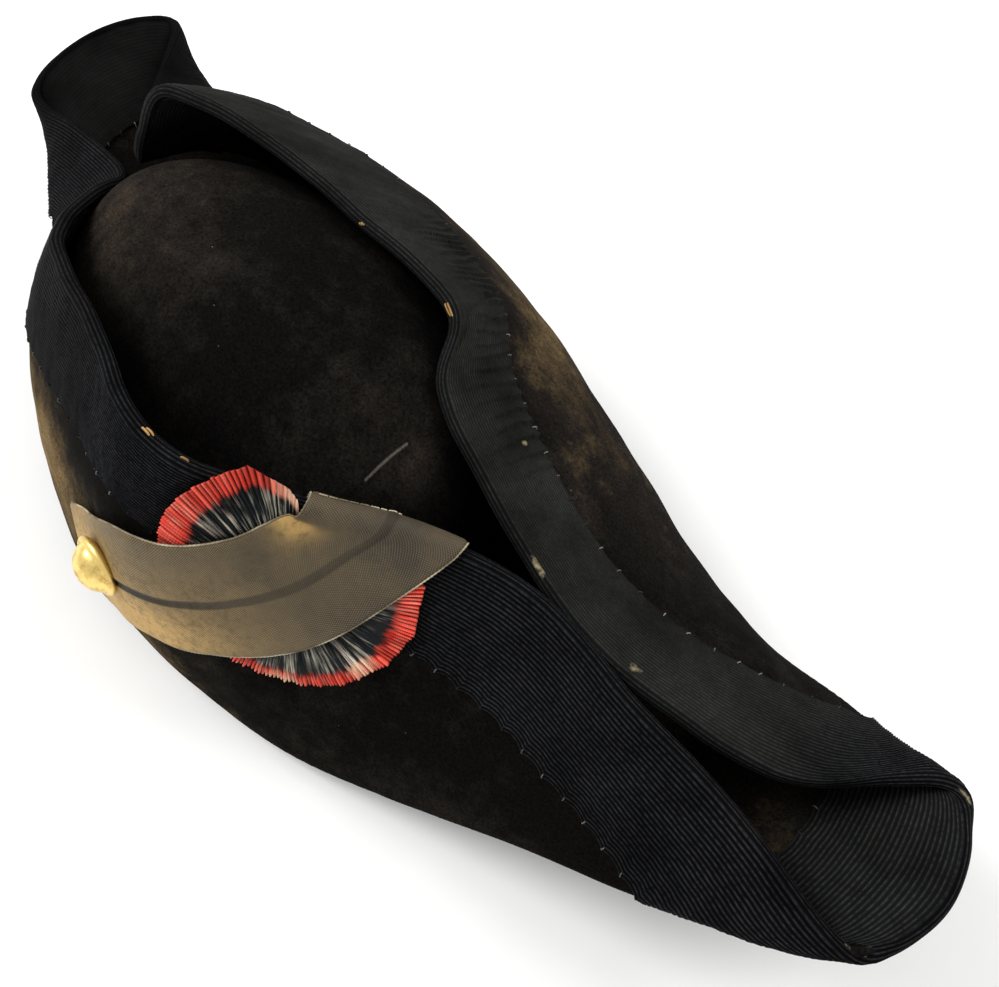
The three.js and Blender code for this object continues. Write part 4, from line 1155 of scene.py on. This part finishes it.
# Gilt brass: bright and warm where it is rubbed, brown in the low places.
def gilt_brass(name):
    brass = material_of(name)
    place = node(brass, "TexCoord")
    cloud = node(brass, "TexNoise", {"Vector": place, "Scale": 1 / (5 * MM), "Detail": 6, "Roughness": 0.65})
    dull = node(brass, "MapRange", [cloud, 0.48, 0.72])
    colour = node(brass, "Mix", {0: dull, 6: "#f3d684", 7: "#a87a3a"}, data_type="RGBA")
    rough = node(brass, "MapRange", [cloud, 0.3, 0.7, 0.25, 0.5])
    # Fine scratches and pits about 0.8 mm across.
    pits = node(brass, "TexNoise", {"Vector": place, "Scale": 1 / (0.8 * MM), "Detail": 3})
    relief = node(brass, "Bump", {"Strength": 0.25, "Distance": 0.1 * MM, "Height": pits})
    shader = node(brass, "BsdfPrincipled", {
        "Base Color": colour, "Metallic": 1, "Roughness": rough, "Normal": relief})
    node(brass, "OutputMaterial", {"Surface": shader})
    return brass


button.data.materials.append(gilt_brass("worn_gilt_brass"))
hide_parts("button")
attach(button, "root")


# The floor: a large sheet of pale paper. The light is soft from all round, and two broad lamps stand over it,
# the stronger one on the left.
FLOOR_HALF = 4
floor_mesh = bpy.data.meshes.new("floor")
floor_corners = [(x * FLOOR_HALF, y * FLOOR_HALF, 0) for x, y in ((-1, -1), (1, -1), (1, 1), (-1, 1))]
floor_mesh.from_pydata(floor_corners, [], [(0, 1, 2, 3)])
floor = bpy.data.objects.new("floor", floor_mesh)
bpy.context.scene.collection.objects.link(floor)
paper = material_of("pale_paper")
paper_grain = node(paper, "TexNoise", {"Vector": node(paper, "TexCoord"), "Scale": 1 / (25 * MM)})
paper_tone = node(paper, "Mix", {0: paper_grain, 6: "#f4f4f2", 7: "#f8f8f7"}, data_type="RGBA")
paper_shader = node(paper, "BsdfPrincipled", {"Base Color": paper_tone, "Roughness": 0.9})
node(paper, "OutputMaterial", {"Surface": paper_shader})
floor_mesh.materials.append(paper)

world = bpy.data.worlds.new("studio")
bpy.context.scene.world = world
world.use_nodes = True
world.node_tree.nodes["Background"].inputs["Color"].default_value = (1, 1, 1, 1)
world.node_tree.nodes["Background"].inputs["Strength"].default_value = 0.75


def lamp(name, place, aim, size, power):
    light = bpy.data.lights.new(name, "AREA")
    light.shape, light.size, light.energy = "DISK", size, power
    made = bpy.data.objects.new(name, light)
    bpy.context.scene.collection.objects.link(made)
    made.location = place
    made.rotation_euler = (Vector(aim) - Vector(place)).to_track_quat("-Z", "Y").to_euler()


lamp("key", (-0.9, -0.7, 1.3), (0, 0, 0.05), 0.9, 20)
lamp("fill", (0.5, 0.9, 1.4), (0, 0, 0.05), 1.0, 10)

# The camera, at the photograph's angle: its place and its three ways, in the tables' frame.
CAMERA_PLACE = np.array([172.865, -116.189, 351.408])
CAMERA_RIGHT = (0.64938, 0.75541, 0.08754)
CAMERA_UP = (-0.67636, 0.52110, 0.52057)
CAMERA_BACK = (0.34762, -0.39726, 0.84932)
IMAGE_WIDTH, FOCAL_PIXELS = 999, 1049.467
camera_data = bpy.data.cameras.new("camera")
camera_data.sensor_width = 36
camera_data.lens = camera_data.sensor_width * FOCAL_PIXELS / IMAGE_WIDTH
camera_data.clip_start = 0.01
camera = bpy.data.objects.new("camera", camera_data)
bpy.context.scene.collection.objects.link(camera)
camera_axes = np.column_stack([CAMERA_RIGHT, CAMERA_UP, CAMERA_BACK, (CAMERA_PLACE + TO_FRAME) * MM])
camera.matrix_world = Matrix([*camera_axes.tolist(), [0, 0, 0, 1]])
bpy.context.scene.camera = camera
bpy.context.scene.view_settings.view_transform = "Standard"
